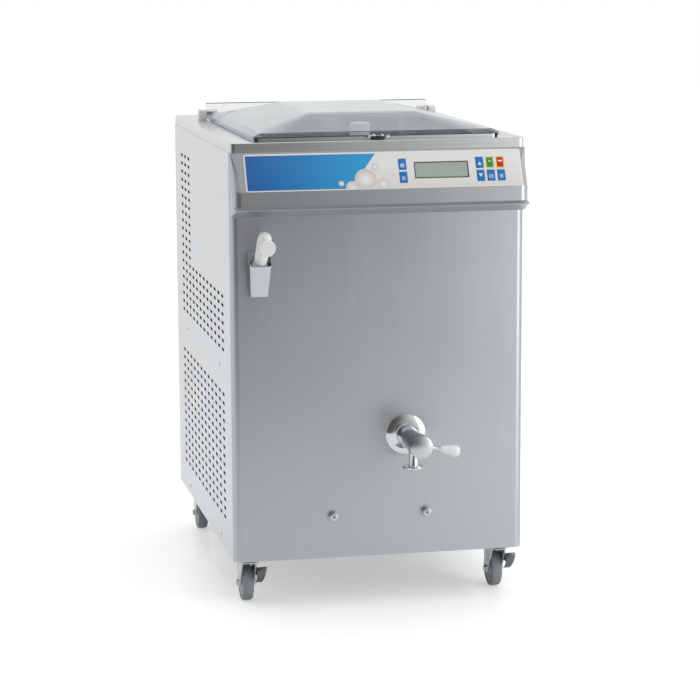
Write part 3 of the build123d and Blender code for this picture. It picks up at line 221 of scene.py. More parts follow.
def finned_coil():
    """Aluminium fin pack over copper tube: thin bright lines close together, with painted shade in the gaps
    between the fins.
    """
    made, tree = new_material("aluminium_fin_pack")
    spot = add(tree, "ShaderNodeTexCoord")
    fins = add(tree, "ShaderNodeTexWave", {"bands_direction": "Y"}, Vector=spot.outputs["Object"], Scale=160.0)
    # The dark colour between the bright fin lines is painted shade of the gaps between the fins.
    tone = add(
        tree, "ShaderNodeMix", {"data_type": "RGBA"}, i0=fins.outputs[1],
        i6=linear("#3C3E40"), i7=linear("#B9BCBE"),
    )
    dull = add(tree, "ShaderNodeMapRange", None, i0=fins.outputs[1], i3=0.55, i4=0.38)
    bump = add(tree, "ShaderNodeBump", None, Strength=0.3, Distance=0.001, Height=fins.outputs[1])
    shader = add(
        tree, "ShaderNodeBsdfPrincipled", None, Base_Color=tone.outputs[2], Metallic=0.9,
        Roughness=dull.outputs[0], Normal=bump.outputs[0],
    )
    add(tree, "ShaderNodeOutputMaterial", None, Surface=shader.outputs[0])
    return made


def display_window():
    """Acrylic window over the display: clear with a soft gloss."""
    made, tree = new_material("acrylic_display_window")
    spot = add(tree, "ShaderNodeTexCoord")
    waves = add(tree, "ShaderNodeTexNoise", None, Vector=spot.outputs["Object"], Scale=40.0, Detail=1.0)
    dull = add(tree, "ShaderNodeMapRange", None, i0=waves.outputs[0], i1=0.3, i2=0.7, i3=0.08, i4=0.14)
    shader = add(
        tree, "ShaderNodeBsdfPrincipled", None, Base_Color=linear("#DDE5E0"), IOR=1.49, Alpha=0.22,
        Roughness=dull.outputs[0],
    )
    add(tree, "ShaderNodeOutputMaterial", None, Surface=shader.outputs[0])
    return made


# Helpers for modelling

def pick(made):
    """Makes one object the only one that is selected."""
    if bpy.context.mode != "OBJECT":
        bpy.ops.object.mode_set(mode="OBJECT")
    bpy.ops.object.select_all(action="DESELECT")
    bpy.context.view_layer.objects.active = made
    made.select_set(True)
    return made


def settle(name):
    """Names the new primitive and puts its place into its mesh."""
    made = bpy.context.object
    made.name = name
    made.data.name = name
    bpy.ops.object.transform_apply(location=True, rotation=True, scale=True)
    return made


def clear_selection():
    if bpy.context.mode != "OBJECT":
        bpy.ops.object.mode_set(mode="OBJECT")
    bpy.ops.object.select_all(action="DESELECT")


def block(name, x0, x1, y0, y1, z0, z1):
    """Box between two corners, in millimetres."""
    clear_selection()
    middle = Vector((x0 + x1, y0 + y1, z0 + z1)) / 2 * MM
    bpy.ops.mesh.primitive_cube_add(size=1, location=middle)
    bpy.context.object.scale = Vector((x1 - x0, y1 - y0, z1 - z0)) * MM
    return settle(name)


def rod(name, start, end, radius, sides=40):
    """Round bar from one point to another, in millimetres."""
    clear_selection()
    start, end = Vector(start), Vector(end)
    along = end - start
    bpy.ops.mesh.primitive_cylinder_add(
        vertices=sides, radius=radius * MM, depth=along.length * MM, location=(start + end) / 2 * MM,
    )
    bpy.context.object.rotation_mode = "QUATERNION"
    bpy.context.object.rotation_quaternion = along.to_track_quat("Z", "Y")
    return settle(name)


def turned(name, rings, spot, direction, sides=48):
    """Turned piece: a disc that is extruded and scaled ring by ring, from (radius, height) pairs.

    Rings that end where they start make a piece with an open bore.
    """
    clear_selection()
    radius, height = rings[0]
    bpy.ops.mesh.primitive_circle_add(
        vertices=sides, radius=radius * MM, fill_type="NGON", location=(0, 0, height * MM),
    )
    settle(name)
    bpy.ops.object.mode_set(mode="EDIT")
    bpy.ops.mesh.select_mode(type="FACE")
    bpy.ops.mesh.select_all(action="SELECT")
    bpy.ops.mesh.duplicate()
    bpy.ops.mesh.flip_normals()
    bpy.ops.mesh.select_all(action="INVERT")
    for next_radius, next_height in rings[1:]:
        bpy.ops.mesh.extrude_region_move(TRANSFORM_OT_translate={"value": (0, 0, (next_height - height) * MM)})
        factor = next_radius / radius
        bpy.ops.transform.resize(value=(factor, factor, 1), center_override=(0, 0, next_height * MM))
        radius, height = next_radius, next_height
    bpy.ops.mesh.select_all(action="SELECT")
    bpy.ops.mesh.remove_doubles(threshold=0.000002)
    if rings[0] == rings[-1]:
        bpy.ops.mesh.select_all(action="DESELECT")
        bpy.ops.mesh.select_face_by_sides(number=sides, type="EQUAL")
        bpy.ops.mesh.delete(type="FACE")
        bpy.ops.mesh.select_all(action="SELECT")
    bpy.ops.mesh.normals_make_consistent(inside=False)
    bpy.ops.object.mode_set(mode="OBJECT")
    made = bpy.context.object
    made.rotation_mode = "QUATERNION"
    made.rotation_quaternion = Vector(direction).to_track_quat("Z", "Y")
    made.location = Vector(spot) * MM
    bpy.ops.object.transform_apply(location=True, rotation=True, scale=True)
    return made


def outline_plate(name, x0, x1, y0, y1, z, radii, steps):
    """Flat plate with rounded corners; radii go front left, front right, rear right, rear left."""
    clear_selection()
    bpy.ops.mesh.primitive_plane_add(size=1, location=Vector((x0 + x1, y0 + y1, 2 * z)) / 2 * MM)
    bpy.context.object.scale = ((x1 - x0) * MM, (y1 - y0) * MM, 1)
    made = settle(name)
    corners = ((x0, y0), (x1, y0), (x1, y1), (x0, y1))
    for (x, y), radius in zip(corners, radii):
        if radius > 0:
            spot = Vector((x, y, z)) * MM
            bpy.ops.object.mode_set(mode="EDIT")
            bpy.ops.mesh.select_mode(type="VERT")
            bpy.ops.mesh.select_all(action="DESELECT")
            bpy.ops.object.mode_set(mode="OBJECT")
            for vertex in made.data.vertices:
                vertex.select = (vertex.co - spot).length < 0.00002
            bpy.ops.object.mode_set(mode="EDIT")
            bpy.ops.mesh.bevel(offset=radius * MM, segments=steps, affect="VERTICES", profile=0.5)
            bpy.ops.object.mode_set(mode="OBJECT")
    return made


def join(name, objects):
    clear_selection()
    for made in objects:
        made.select_set(True)
    bpy.context.view_layer.objects.active = objects[0]
    if len(objects) > 1:
        bpy.ops.object.join()
    bpy.context.object.name = name
    bpy.context.object.data.name = name
    return bpy.context.object


def loft(name, sections, steps=8, capped=(True, True)):
    """Skin over level outlines, each (z, x0, x1, y0, y1, radii), that share one number of points."""
    plates = [
        outline_plate("section", x0, x1, y0, y1, z, radii, steps) for z, x0, x1, y0, y1, radii in sections
    ]
    counts = {len(plate.data.vertices) for plate in plates}
    if len(counts) != 1:
        raise ValueError(name + " has outlines of unlike points: " + str(counts))
    count = counts.pop()
    made = join(name, plates)
    bpy.ops.object.mode_set(mode="EDIT")
    bpy.ops.mesh.select_mode(type="EDGE")
    for index in range(len(sections) - 1):
        bpy.ops.mesh.select_all(action="DESELECT")
        bpy.ops.object.mode_set(mode="OBJECT")
        for edge in made.data.edges:
            groups = {vertex // count for vertex in edge.vertices}
            edge.select = len(groups) == 1 and groups <= {index, index + 1}
        bpy.ops.object.mode_set(mode="EDIT")
        bpy.ops.mesh.bridge_edge_loops()
    bpy.ops.mesh.select_mode(type="FACE")
    bpy.ops.mesh.select_all(action="DESELECT")
    bpy.ops.object.mode_set(mode="OBJECT")
    last = len(sections) - 1
    for face in made.data.polygons:
        groups = {vertex // count for vertex in face.vertices}
        if len(groups) == 1 and len(face.vertices) == count:
            index = groups.pop()
            kept = (index == 0 and capped[0]) or (index == last and capped[1])
            face.select = not kept
    bpy.ops.object.mode_set(mode="EDIT")
    bpy.ops.mesh.delete(type="ONLY_FACE")
    bpy.ops.mesh.select_all(action="SELECT")
    bpy.ops.mesh.remove_doubles(threshold=0.000002)
    bpy.ops.mesh.normals_make_consistent(inside=False)
    bpy.ops.object.mode_set(mode="OBJECT")
    return made


def apply_modifier(made, kind, **settings):
    pick(made)
    modifier = made.modifiers.new(kind.lower(), kind)
    for name, value in settings.items():
        setattr(modifier, name, value)
    bpy.ops.object.modifier_apply(modifier=modifier.name)
    return made


def soften(made, width, segments=3, angle=30):
    """Rounds the edges that are sharper than an angle."""
    return apply_modifier(
        made, "BEVEL", width=width * MM, segments=segments, limit_method="ANGLE", angle_limit=radians(angle),
        harden_normals=False,
    )


def thicken(made, wall):
    """Gives a skin its wall, grown inwards."""
    return apply_modifier(made, "SOLIDIFY", thickness=wall * MM, offset=-1, use_even_offset=True)


def cut(made, cutter):
    """Takes a cutter out of a piece."""
    apply_modifier(made, "BOOLEAN", operation="DIFFERENCE", object=cutter, solver="EXACT")
    bpy.data.objects.remove(cutter)
    return made


def round_edges(made, test, radius, steps=6):
    """Bevels the edges that a test of their two ends, in millimetres, picks out."""
    pick(made)
    bpy.ops.object.mode_set(mode="EDIT")
    bpy.ops.mesh.select_mode(type="EDGE")
    bpy.ops.mesh.select_all(action="DESELECT")
    bpy.ops.object.mode_set(mode="OBJECT")
    for edge in made.data.edges:
        start, end = (made.data.vertices[i].co / MM for i in edge.vertices)
        edge.select = test(start, end)
    bpy.ops.object.mode_set(mode="EDIT")
    bpy.ops.mesh.bevel(offset=radius * MM, segments=steps, affect="EDGES", profile=0.5)
    bpy.ops.object.mode_set(mode="OBJECT")
    return made


def drop_faces(made, test):
    """Deletes the faces that a test of centre and normal, in millimetres, picks out."""
    pick(made)
    bpy.ops.object.mode_set(mode="EDIT")
    bpy.ops.mesh.select_mode(type="FACE")
    bpy.ops.mesh.select_all(action="DESELECT")
    bpy.ops.object.mode_set(mode="OBJECT")
    for face in made.data.polygons:
        face.select = test(face.center / MM, face.normal)
    bpy.ops.object.mode_set(mode="EDIT")
    bpy.ops.mesh.delete(type="FACE")
    bpy.ops.object.mode_set(mode="OBJECT")
    return made


def slide(made, test, offset):
    """Moves the corners that a test of their place, in millimetres, picks out."""
    pick(made)
    bpy.ops.object.mode_set(mode="EDIT")
    bpy.ops.mesh.select_mode(type="VERT")
    bpy.ops.mesh.select_all(action="DESELECT")
    bpy.ops.object.mode_set(mode="OBJECT")
    for vertex in made.data.vertices:
        vertex.select = test(vertex.co / MM)
    bpy.ops.object.mode_set(mode="EDIT")
    bpy.ops.transform.translate(value=Vector(offset) * MM)
    bpy.ops.object.mode_set(mode="OBJECT")
    return made


def upright_edge(start, end):
    return abs(start.z - end.z) > 0.5 and (start.xy - end.xy).length < 0.01


def copy_at(made, name, offset):
    """Copy with its own mesh, moved by an offset in millimetres."""
    twin = made.copy()
    twin.data = made.data.copy()
    twin.name = name
    twin.data.transform(Matrix.Translation(Vector(offset) * MM))
    bpy.context.scene.collection.objects.link(twin)
    return twin


def place(made, matrix):
    """Moves a piece that was made flat to its real place."""
    made.data.transform(matrix)
    made.data.update()
    return made


def finish_piece(made, body, material, nodes=(), smooth=35):
    """Shades a piece, gives it its finish and joins it to its body."""
    pick(made)
    if smooth:
        bpy.ops.object.shade_smooth_by_angle(angle=radians(smooth))
    made.data.materials.clear()
    made.data.materials.append(material)
    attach(made, body)
    if nodes:
        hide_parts(*nodes)
    return made


steel_sheet = brushed_sheet("stainless_sheet_upright_grain", "#B7BABD", 0.36, (260.0, 260.0, 6.0))
steel_side = brushed_sheet("stainless_side_sheet", "#D9DBDD", 0.38, (260.0, 260.0, 6.0))
steel_flat = brushed_sheet("stainless_top_sheet", "#CFD1D3", 0.26, (5.0, 260.0, 260.0))
steel_tank = brushed_sheet("stainless_tank_sheet", "#C9CBCD", 0.24, (6.0, 6.0, 300.0))
polished_steel = polished_metal("polished_stainless_bar", "#D6D8DA", 0.10)
satin_steel = polished_metal("satin_stainless_fitting", "#C4C6C8", 0.24)
zinc_steel = polished_metal("zinc_plated_pressing", "#C9CBCC", 0.28)
# Darker zinc for the toe pedals: painted shade, the pedals drawn as zinc pressings seen in shadow.
zinc_in_painted_shade = polished_metal("zinc_pressing_painted_shade", "#6E7173", 0.34)
white_plastic = moulded_plastic("white_acetal_moulding", "#FAFAFA", 0.24)
black_plastic = moulded_plastic("black_nylon_moulding", "#17181A", 0.42)
grey_rubber = moulded_plastic("grey_thermoplastic_rubber", "#94989A", 0.6, 0.15)
pale_plastic = moulded_plastic("pale_polypropylene_wheel", "#E9EBEB", 0.4)
seal_rubber = moulded_plastic("black_silicone_seal", "#0E0F10", 0.5)
painted_frame = moulded_plastic("grey_powder_coated_frame", "#8B8E91", 0.5, 0.2, 2.5)
black_enamel = moulded_plastic("black_enamelled_shell", "#1B1C1E", 0.35)
grey_cover = moulded_plastic("grey_abs_cover", "#A9ABAD", 0.5)
foam = moulded_plastic("polyurethane_foam_jacket", "#CFC7AE", 0.9, 0.5, 3.0)
board_green = moulded_plastic("circuit_board_resin", "#155035", 0.4)
turned_brass = polished_metal("turned_brass", "#C9A55C", 0.28)
clear_lid = clear_moulding()
# Dark grey for thin rods along the lid's bends: painted shade, the dark lines that the clear sheet shows where
# it bends.
painted_bend_shade = moulded_plastic("painted_shade_bend_lines", "#3A3F43", 0.3, 0.02)
fin_pack = finned_coil()
lcd_shade = moulded_plastic("display_polariser_film", "#A9B6AC", 0.25, 0.02)
key_blue = moulded_plastic("blue_membrane_key", "#0C7AC9", 0.32, 0.02)
key_green = moulded_plastic("green_membrane_key", "#1E9A3C", 0.32, 0.02)
key_red = moulded_plastic("red_membrane_key", "#D9241C", 0.32, 0.02)
key_yellow = moulded_plastic("yellow_key_border", "#F2D21F", 0.35, 0.02)
print_white = moulded_plastic("white_screen_print", "#FAFAFA", 0.4, 0.02)


# Cabinet

def make_front_panel():
    sheet = block("front_sheet", left, right, front, front + 20, panel_bottom, high("front_panel").z)
    round_edges(sheet, lambda a, b: upright_edge(a, b) and a.y < front + 1, 16, 8)
    drop_faces(sheet, lambda c, n: abs(n.z) > 0.9 or n.y > 0.9)
    thicken(sheet, 1.5)
    return finish_piece(sheet, "cabinet", steel_sheet, ["front_panel"])


def vent_rows():
    """Middles of the vents on the left side, in millimetres along Y and Z."""
    pitch_y, pitch_z = 55.6, 19.8
    first = front + 433.5 + pitch_y * 5.5
    for row in range(20):
        for column in range(3 if row < 13 else 12):
            yield first - column * pitch_y, 939 - row * pitch_z
    for row in range(15):
        for column in range(12):
            yield first - column * pitch_y, 462 - row * pitch_z


def vent_cutter():
    """One round-ended slot, copied to every place of the vent field."""
    half, radius = 14.5, 3.75
    slot = block("vent", left - 3, left + 4, -half, half, -radius, radius)
    round_edges(slot, lambda a, b: abs(a.x - b.x) > 5, radius * 0.98, 4)
    copies = [copy_at(slot, "vent", (0, y, z)) for y, z in vent_rows()]
    bpy.data.objects.remove(slot)
    return join("vents", copies)


def make_side_panels():
    y0 = low("side_panel_left").y
    top = high("side_panel_left").z
    vented = block("left_side_sheet", left, left + 1.5, y0, rear, panel_bottom, top)
    cut(vented, vent_cutter())
    finish_piece(vented, "cabinet", steel_side, ["side_panel_left"], smooth=20)
    plain = block("right_side_sheet", right - 1.5, right, y0, rear, panel_bottom, top)
    soften(plain, 0.5, 2)
    finish_piece(plain, "cabinet", steel_side, ["side_panel_right"], smooth=20)


def make_rear_panel():
    sheet = block("rear_sheet", left + 1.5, right - 1.5, rear - 1.5, rear, panel_bottom, high("rear_panel").z)
    gaps = []
    louvres = []
    for side in (-1, 1):
        for row in range(9):
            middle = side * 190 * 0.62
            z = 420 + row * 24
            gaps.append(block("gap", middle - 95, middle + 95, rear - 3, rear + 1, z - 4, z + 4))
            hood = rod("louvre", (middle - 95, rear - 0.2, z + 4), (middle + 95, rear - 0.2, z + 4), 7, 24)
            drop_faces(hood, lambda c, n, y=rear, t=z + 4: c.y < y or c.z < t - 7.1)
            louvres.append(thicken(hood, 1.2))
    cut(sheet, join("gaps", gaps))
    finish_piece(join("rear_louvres", louvres), "cabinet", steel_side)
    return finish_piece(sheet, "cabinet", steel_side, ["rear_panel"], smooth=20)


def make_top_plate():
    """Folded top with a deep rim, a raised sill and the opening over the tank."""
    plate = block("top_sheet", left, right, front, rear, rim_bottom, plate_top)
    round_edges(plate, upright_edge, 12, 8)
    round_edges(plate, lambda a, b: min(a.z, b.z) > plate_top - 0.1, 2.0, 4)
    drop_faces(plate, lambda c, n: n.z < -0.9)
    thicken(plate, 1.5)
    cut(plate, loft("opening", [tank_section(plate_top + dz, 2.2) for dz in (-30, 30)], 16))
    finish_piece(plate, "cabinet", steel_flat, ["top_plate"], smooth=40)
    sill_y0, sill_y1 = low("lid_seal").y, high("lid_seal").y
    outer = loft("sill", [
        (z, -sill_x + inset, sill_x - inset, sill_y0 + inset, sill_y1 - inset, (8 - inset / 2,) * 4)
        for inset, z in ((0, plate_top - 1), (0, sill_top - 0.6), (0.6, sill_top))
    ], 6)
    well = loft("well", [
        (z, -sill_x + 8, sill_x - 8, sill_y0 + 8, sill_y1 - 8, (4,) * 4) for z in (plate_top - 5, sill_top + 5)
    ], 6)
    cut(outer, well)
    finish_piece(outer, "cabinet", steel_flat)


def tank_section(z, grow):
    """Outline of the tank's straight part at a height."""
    middle = front + 342.5
    return (z, -235 - grow, 235 + grow, middle - 300 - grow, middle + 300 + grow, (70 + grow,) * 4)


def make_tank():
    sump_y = front + 467.5
    sections = [(z, 58 - 75, 58 + 75, sump_y - 75, sump_y + 75, (70,) * 4) for z in (362, 430)]
    sections += [tank_section(z, 0) for z in (640, high("tank").z)]
    skin = loft("tank_skin", sections, 16, (True, False))
    apply_modifier(skin, "SOLIDIFY", thickness=2 * MM, offset=1)
    return finish_piece(skin, "cabinet", steel_tank, ["tank"], smooth=40)


def make_seal():
    """Black seal along the sill, turned down at its two front corners."""
    x1, y0, y1 = sill_x, low("lid_seal").y, high("lid_seal").y
    z0, z1 = sill_top, high("lid_seal").z
    strip = loft("seal_strip", [(z, -x1, x1, y0, y1, (8,) * 4) for z in (z0 - 0.1, z1)], 6)
    well = loft("seal_well", [(z, -x1 + 7, x1 - 7, y0 + 7, y1 - 7, (4,) * 4) for z in (z0 - 3, z1 + 3)], 6)
    cut(strip, well)
    ends = [strip]
    for side in (-1, 1):
        x0, xe = sorted((side * (x1 - 1), side * (x1 + 1.2)))
        ends.append(block("seal_end", x0, xe, y0 - 0.3, y0 + 16, plate_top, z1))
    return finish_piece(join("seal", ends), "cabinet", seal_rubber, ["lid_seal"])


# Control hood with its label, display and keys

LABEL_TOP = 4.3
face_length = hypot(40.5, 81)
face_up = Vector((0, 40.5, 81)) / face_length
face_out = Vector((0, -81, 40.5)) / face_length
hood_top = Vector((0, front - 0.5, rim_bottom))


def on_face(made):
    """Turns a piece made flat, with u along X, v down along -Y and depth along Z, onto the sloped face."""
    turn = Matrix((Vector((1, 0, 0)), face_up, face_out)).transposed()
    return place(made, Matrix.Translation(hood_top * MM) @ turn.to_4x4())


def hood_outline(drop, out):
    """Outline of the hood at a drop below the rim, standing out from the front by a depth."""
    radius = min(19.0, (out + 0.4) * 0.94)
    return (rim_bottom - drop, left, right, front - out, front + 0.4, (radius, radius, 0, 0))


def make_hood():
    """Hood folded from sheet: slope, upright face, a thin lip and an undercut, round at both ends."""
    profile = [
        (137.5, 0.6), (119.0, 56.5), (118.2, 59.6), (117.2, 60.4), (116.6, 58.6), (113.6, 43.0), (112.4, 40.8),
        (111.0, 40.5), (82.8, 40.5), (81.2, 40.3), (79.6, 39.7), (60.0, 29.9), (40.0, 19.9), (20.0, 10.3),
        (8.0, 4.4), (0, 0.6),
    ]
    skin = loft("hood_sheet", [hood_outline(drop, out) for drop, out in profile], 10)
    return finish_piece(skin, "cabinet", steel_sheet, ["control_hood"], smooth=28)


def label_print():
    """Polyester label, screen printed: a blue field with pale bubbles, inside a white border."""
    made, tree = new_material("screen_printed_polyester_label")
    soft = {"interpolation_type": "SMOOTHSTEP"}
    colours = {"data_type": "RGBA"}
    spot = add(tree, "ShaderNodeTexCoord")
    split = add(tree, "ShaderNodeSeparateXYZ", None, Vector=spot.outputs["Object"])
    across = add(tree, "ShaderNodeMath", {"operation": "DIVIDE"}, i0=split.outputs[0], i1=MM)
    top_z = (rim_bottom - LABEL_TOP * face_up.z) * MM
    fall = add(tree, "ShaderNodeMath", {"operation": "SUBTRACT"}, i0=top_z, i1=split.outputs[2])
    down = add(tree, "ShaderNodeMath", {"operation": "DIVIDE"}, i0=fall.outputs[0], i1=face_up.z * MM)
    fade = add(tree, "ShaderNodeMapRange", None, i0=across.outputs[0], i1=-290.0, i2=-40.0, i3=0.0, i4=1.0)
    blue = add(
        tree, "ShaderNodeMix", colours, i0=fade.outputs[0], i6=linear("#0A66B8"), i7=linear("#1FA4E2"),
    )
    rising = add(
        tree, "ShaderNodeMath", {"operation": "MULTIPLY_ADD"},
        i0=down.outputs[0], i1=0.75, i2=across.outputs[0],
    )
    edge = add(tree, "ShaderNodeMapRange", soft, i0=rising.outputs[0], i1=-8.6, i2=-7.4, i3=0.0, i4=1.0)
    dusk = add(tree, "ShaderNodeMapRange", soft, i0=down.outputs[0], i1=15.0, i2=105.0, i3=0.0, i4=1.0)
    paper = add(
        tree, "ShaderNodeMix", colours, i0=dusk.outputs[0], i6=linear("#F7F5F3"), i7=linear("#EAE6E2"),
    )
    field = add(
        tree, "ShaderNodeMix", colours, i0=edge.outputs[0], i6=blue.outputs[2], i7=paper.outputs[2],
    )
    flat = add(tree, "ShaderNodeCombineXYZ", None, X=across.outputs[0], Y=down.outputs[0])
    for centre_u, centre_v, radius in BUBBLES:
        reach = add(
            tree, "ShaderNodeVectorMath", {"operation": "DISTANCE"},
            i0=flat.outputs[0], i1=(centre_u, centre_v, 0),
        )
        falloff = add(
            tree, "ShaderNodeMapRange", None, i0=reach.outputs[1], i1=0.0, i2=radius, i3=0.0, i4=1.0,
        )
        ball = add(
            tree, "ShaderNodeMix", colours, i0=falloff.outputs[0], i6=linear("#FFFFFF"), i7=linear("#DDD7D1"),
        )
        inside = add(
            tree, "ShaderNodeMapRange", soft, i0=reach.outputs[1],
            i1=radius - 0.6, i2=radius + 0.6, i3=1.0, i4=0.0,
        )
        field = add(
            tree, "ShaderNodeMix", colours, i0=inside.outputs[0], i6=field.outputs[2], i7=ball.outputs[2],
        )
    colour = field
    for along, middle, reach_out in ((across, 7.2, 300.8), (down, 42.7, 39.6)):
        from_middle = add(tree, "ShaderNodeMath", {"operation": "SUBTRACT"}, i0=along.outputs[0], i1=middle)
        away = add(tree, "ShaderNodeMath", {"operation": "ABSOLUTE"}, i0=from_middle.outputs[0])
        border = add(
            tree, "ShaderNodeMapRange", soft, i0=away.outputs[0],
            i1=reach_out - 0.3, i2=reach_out + 0.3, i3=0.0, i4=1.0,
        )
        colour = add(
            tree, "ShaderNodeMix", colours, i0=border.outputs[0], i6=colour.outputs[2], i7=linear("#F8F8F8"),
        )
    waves = add(tree, "ShaderNodeTexNoise", None, Vector=spot.outputs["Object"], Scale=60.0, Detail=2.0)
    dull = add(tree, "ShaderNodeMapRange", None, i0=waves.outputs[0], i1=0.3, i2=0.7, i3=0.30, i4=0.38)
    bump = add(tree, "ShaderNodeBump", None, Strength=0.02, Distance=0.0005, Height=waves.outputs[0])
    shader = add(
        tree, "ShaderNodeBsdfPrincipled", None, Base_Color=colour.outputs[2], Roughness=dull.outputs[0],
        Normal=bump.outputs[0], Coat_Weight=0.25, Coat_Roughness=0.2,
    )
    add(tree, "ShaderNodeOutputMaterial", None, Surface=shader.outputs[0])
    return made


# Bubbles of the label's print: middle across, middle down and radius, in millimetres.
BUBBLES = (
    (-36, 62, 24), (-66, 80, 15), (2, 74, 14), (-13, 34, 9), (-90, 70, 6), (26, 58, 6),
)


def make_label():
    """Printed label on a thin plate, with gaps for the keys and a recess for the display."""
    x0, x1 = low("label_panel").x, high("label_panel").x
    plate = outline_plate("label_plate", x0, x1, -89.8, -LABEL_TOP, 0, (3, 3, 3, 3), 5)
    pick(plate)
    bpy.ops.object.mode_set(mode="EDIT")
    bpy.ops.mesh.select_all(action="SELECT")
    bpy.ops.mesh.extrude_region_move(TRANSFORM_OT_translate={"value": (0, 0, 1.6 * MM)})
    bpy.ops.mesh.select_all(action="SELECT")
    bpy.ops.mesh.normals_make_consistent(inside=False)
    bpy.ops.object.mode_set(mode="OBJECT")
    soften(plate, 0.4, 2, 50)
    cut(plate, block("window", 72.4, 193, -68.1, -29.7, 0.6, 5))
    for u, v in KEY_PLACES.values():
        cut(plate, block("key_gap", u, u + 17.8, -v - 26, -v, -1, 5))
    on_face(plate)
    return finish_piece(plate, "cabinet", label_print(), ["label_panel"], smooth=30)


# Each key's left edge across and its top edge down the face, in millimetres.
KEY_PLACES = {
    "key_program": (38.3, 21.4), "key_memory": (38.3, 51.4),
    "key_up": (209.6, 21.4), "key_start": (232.6, 21.4), "key_stop": (255.6, 21.4),
    "key_down": (209.6, 51.4), "key_confirm": (232.6, 51.4), "key_setup": (255.6, 51.4),
}


def make_display():
    """Grey display under a clear window, in a dark frame."""
    screen = block("display_screen", 74.5, 191, -66.0, -31.8, 0.4, 0.9)
    on_face(screen)
    finish_piece(screen, "cabinet", lcd_shade, smooth=0)
    rim = block("display_rim", 72.4, 193, -68.1, -29.7, 0.3, 1.5)
    cut(rim, block("inner", 75.0, 190.4, -65.5, -32.3, -1, 3))
    on_face(rim)
    finish_piece(rim, "cabinet", lcd_frame, smooth=0)
    pane = block("display_pane", 72.6, 192.8, -67.9, -29.9, 1.25, 1.45)
    on_face(pane)
    return finish_piece(pane, "cabinet", display_cover, ["display_window"], smooth=0)


lcd_frame = moulded_plastic("display_bezel_print", "#4C5558", 0.4, 0.02)
display_cover = display_window()


# Thickness of the printed marks on the keys, in millimetres.
MARK = 0.12


def bar_mark(x, y, width, length, height, turn=0):
    """Flat printed bar, turned about its middle by an angle in degrees."""
    bar = block("bar", -width / 2, width / 2, -length / 2, length / 2, 0, MARK)
    place(bar, Matrix.Rotation(radians(turn), 4, "Z"))
    return place(bar, Matrix.Translation(Vector((x, y, height)) * MM))


def arrow_mark(x, y, radius, height, turn):
    """Three-sided mark that points down the face, turned by an angle in degrees."""
    arrow = turned("arrow", [(radius, 0), (radius, MARK)], (0, 0, 0), (0, 0, 1), 3)
    place(arrow, Matrix.Rotation(radians(turn), 4, "Z"))
    return place(arrow, Matrix.Translation(Vector((x, y, height)) * MM))


def ring_mark(x, y, radius, width, height):
    ring = turned("ring", [(radius, 0), (radius, MARK)], (x, y, height), (0, 0, 1), 32)
    return cut(ring, rod("hole", (x, y, height - 1), (x, y, height + 1), radius - width, 32))


def key_marks(name, x, y, height):
    """Plain white marks: arrows, a bar, rings, a tick and rows of lines."""
    if name == "key_up":
        return [arrow_mark(x, y - 3.4, 5.2, height, 180)]
    if name == "key_down":
        return [arrow_mark(x, y + 1.6, 5.2, height, 0)]
    if name == "key_start":
        return [arrow_mark(x - 0.4, y + 2.6, 3.2, height, 90)]
    if name == "key_stop":
        return [bar_mark(x, y + 2.6, 8.6, 3.4, height)]
    if name == "key_program":
        spokes = [bar_mark(x, y - 3, 8.4, 1.1, height, turn) for turn in (45, -45)]
        return [ring_mark(x, y - 3, 4.6, 1.1, height)] + spokes
    if name == "key_confirm":
        return [
            ring_mark(x, y - 2.4, 4.8, 1.0, height), bar_mark(x - 1.7, y - 2.9, 1.1, 3.0, height, 45),
            bar_mark(x + 0.7, y - 1.9, 1.1, 5.4, height, -38),
        ]
    return [bar_mark(x, y - 2.4 + row * 3.0, 7.4, 1.2, height) for row in (-1, 0, 1)]


def make_keys():
    finishes = {"key_start": key_green, "key_stop": key_red}
    for name, (u, v) in KEY_PLACES.items():
        body = name + "_cap"
        framed = name in finishes
        base = block(name + "_base", u + 0.2, u + 17.6, -v - 25.8, -v - 0.2, -2.9, 1.9)
        round_edges(base, upright_edge, 2.3, 4)
        soften(base, 0.35, 2, 50)
        on_face(base)
        finish_piece(base, body, key_yellow if framed else key_blue, [name])
        inset = 2.0 if framed else 0.9
        cap = block(name + "_cap", u + inset, u + 17.8 - inset, -v - 26 + inset, -v - inset, 1.6, 2.1)
        round_edges(cap, upright_edge, 1.6, 4)
        soften(cap, 0.15, 2, 50)
        on_face(cap)
        finish_piece(cap, body, finishes.get(name, key_blue))
        marks = join(name + "_mark", key_marks(name, u + 8.9, -v - 13, 2.1))
        on_face(marks)
        finish_piece(marks, body, print_white, smooth=0)


# Lid

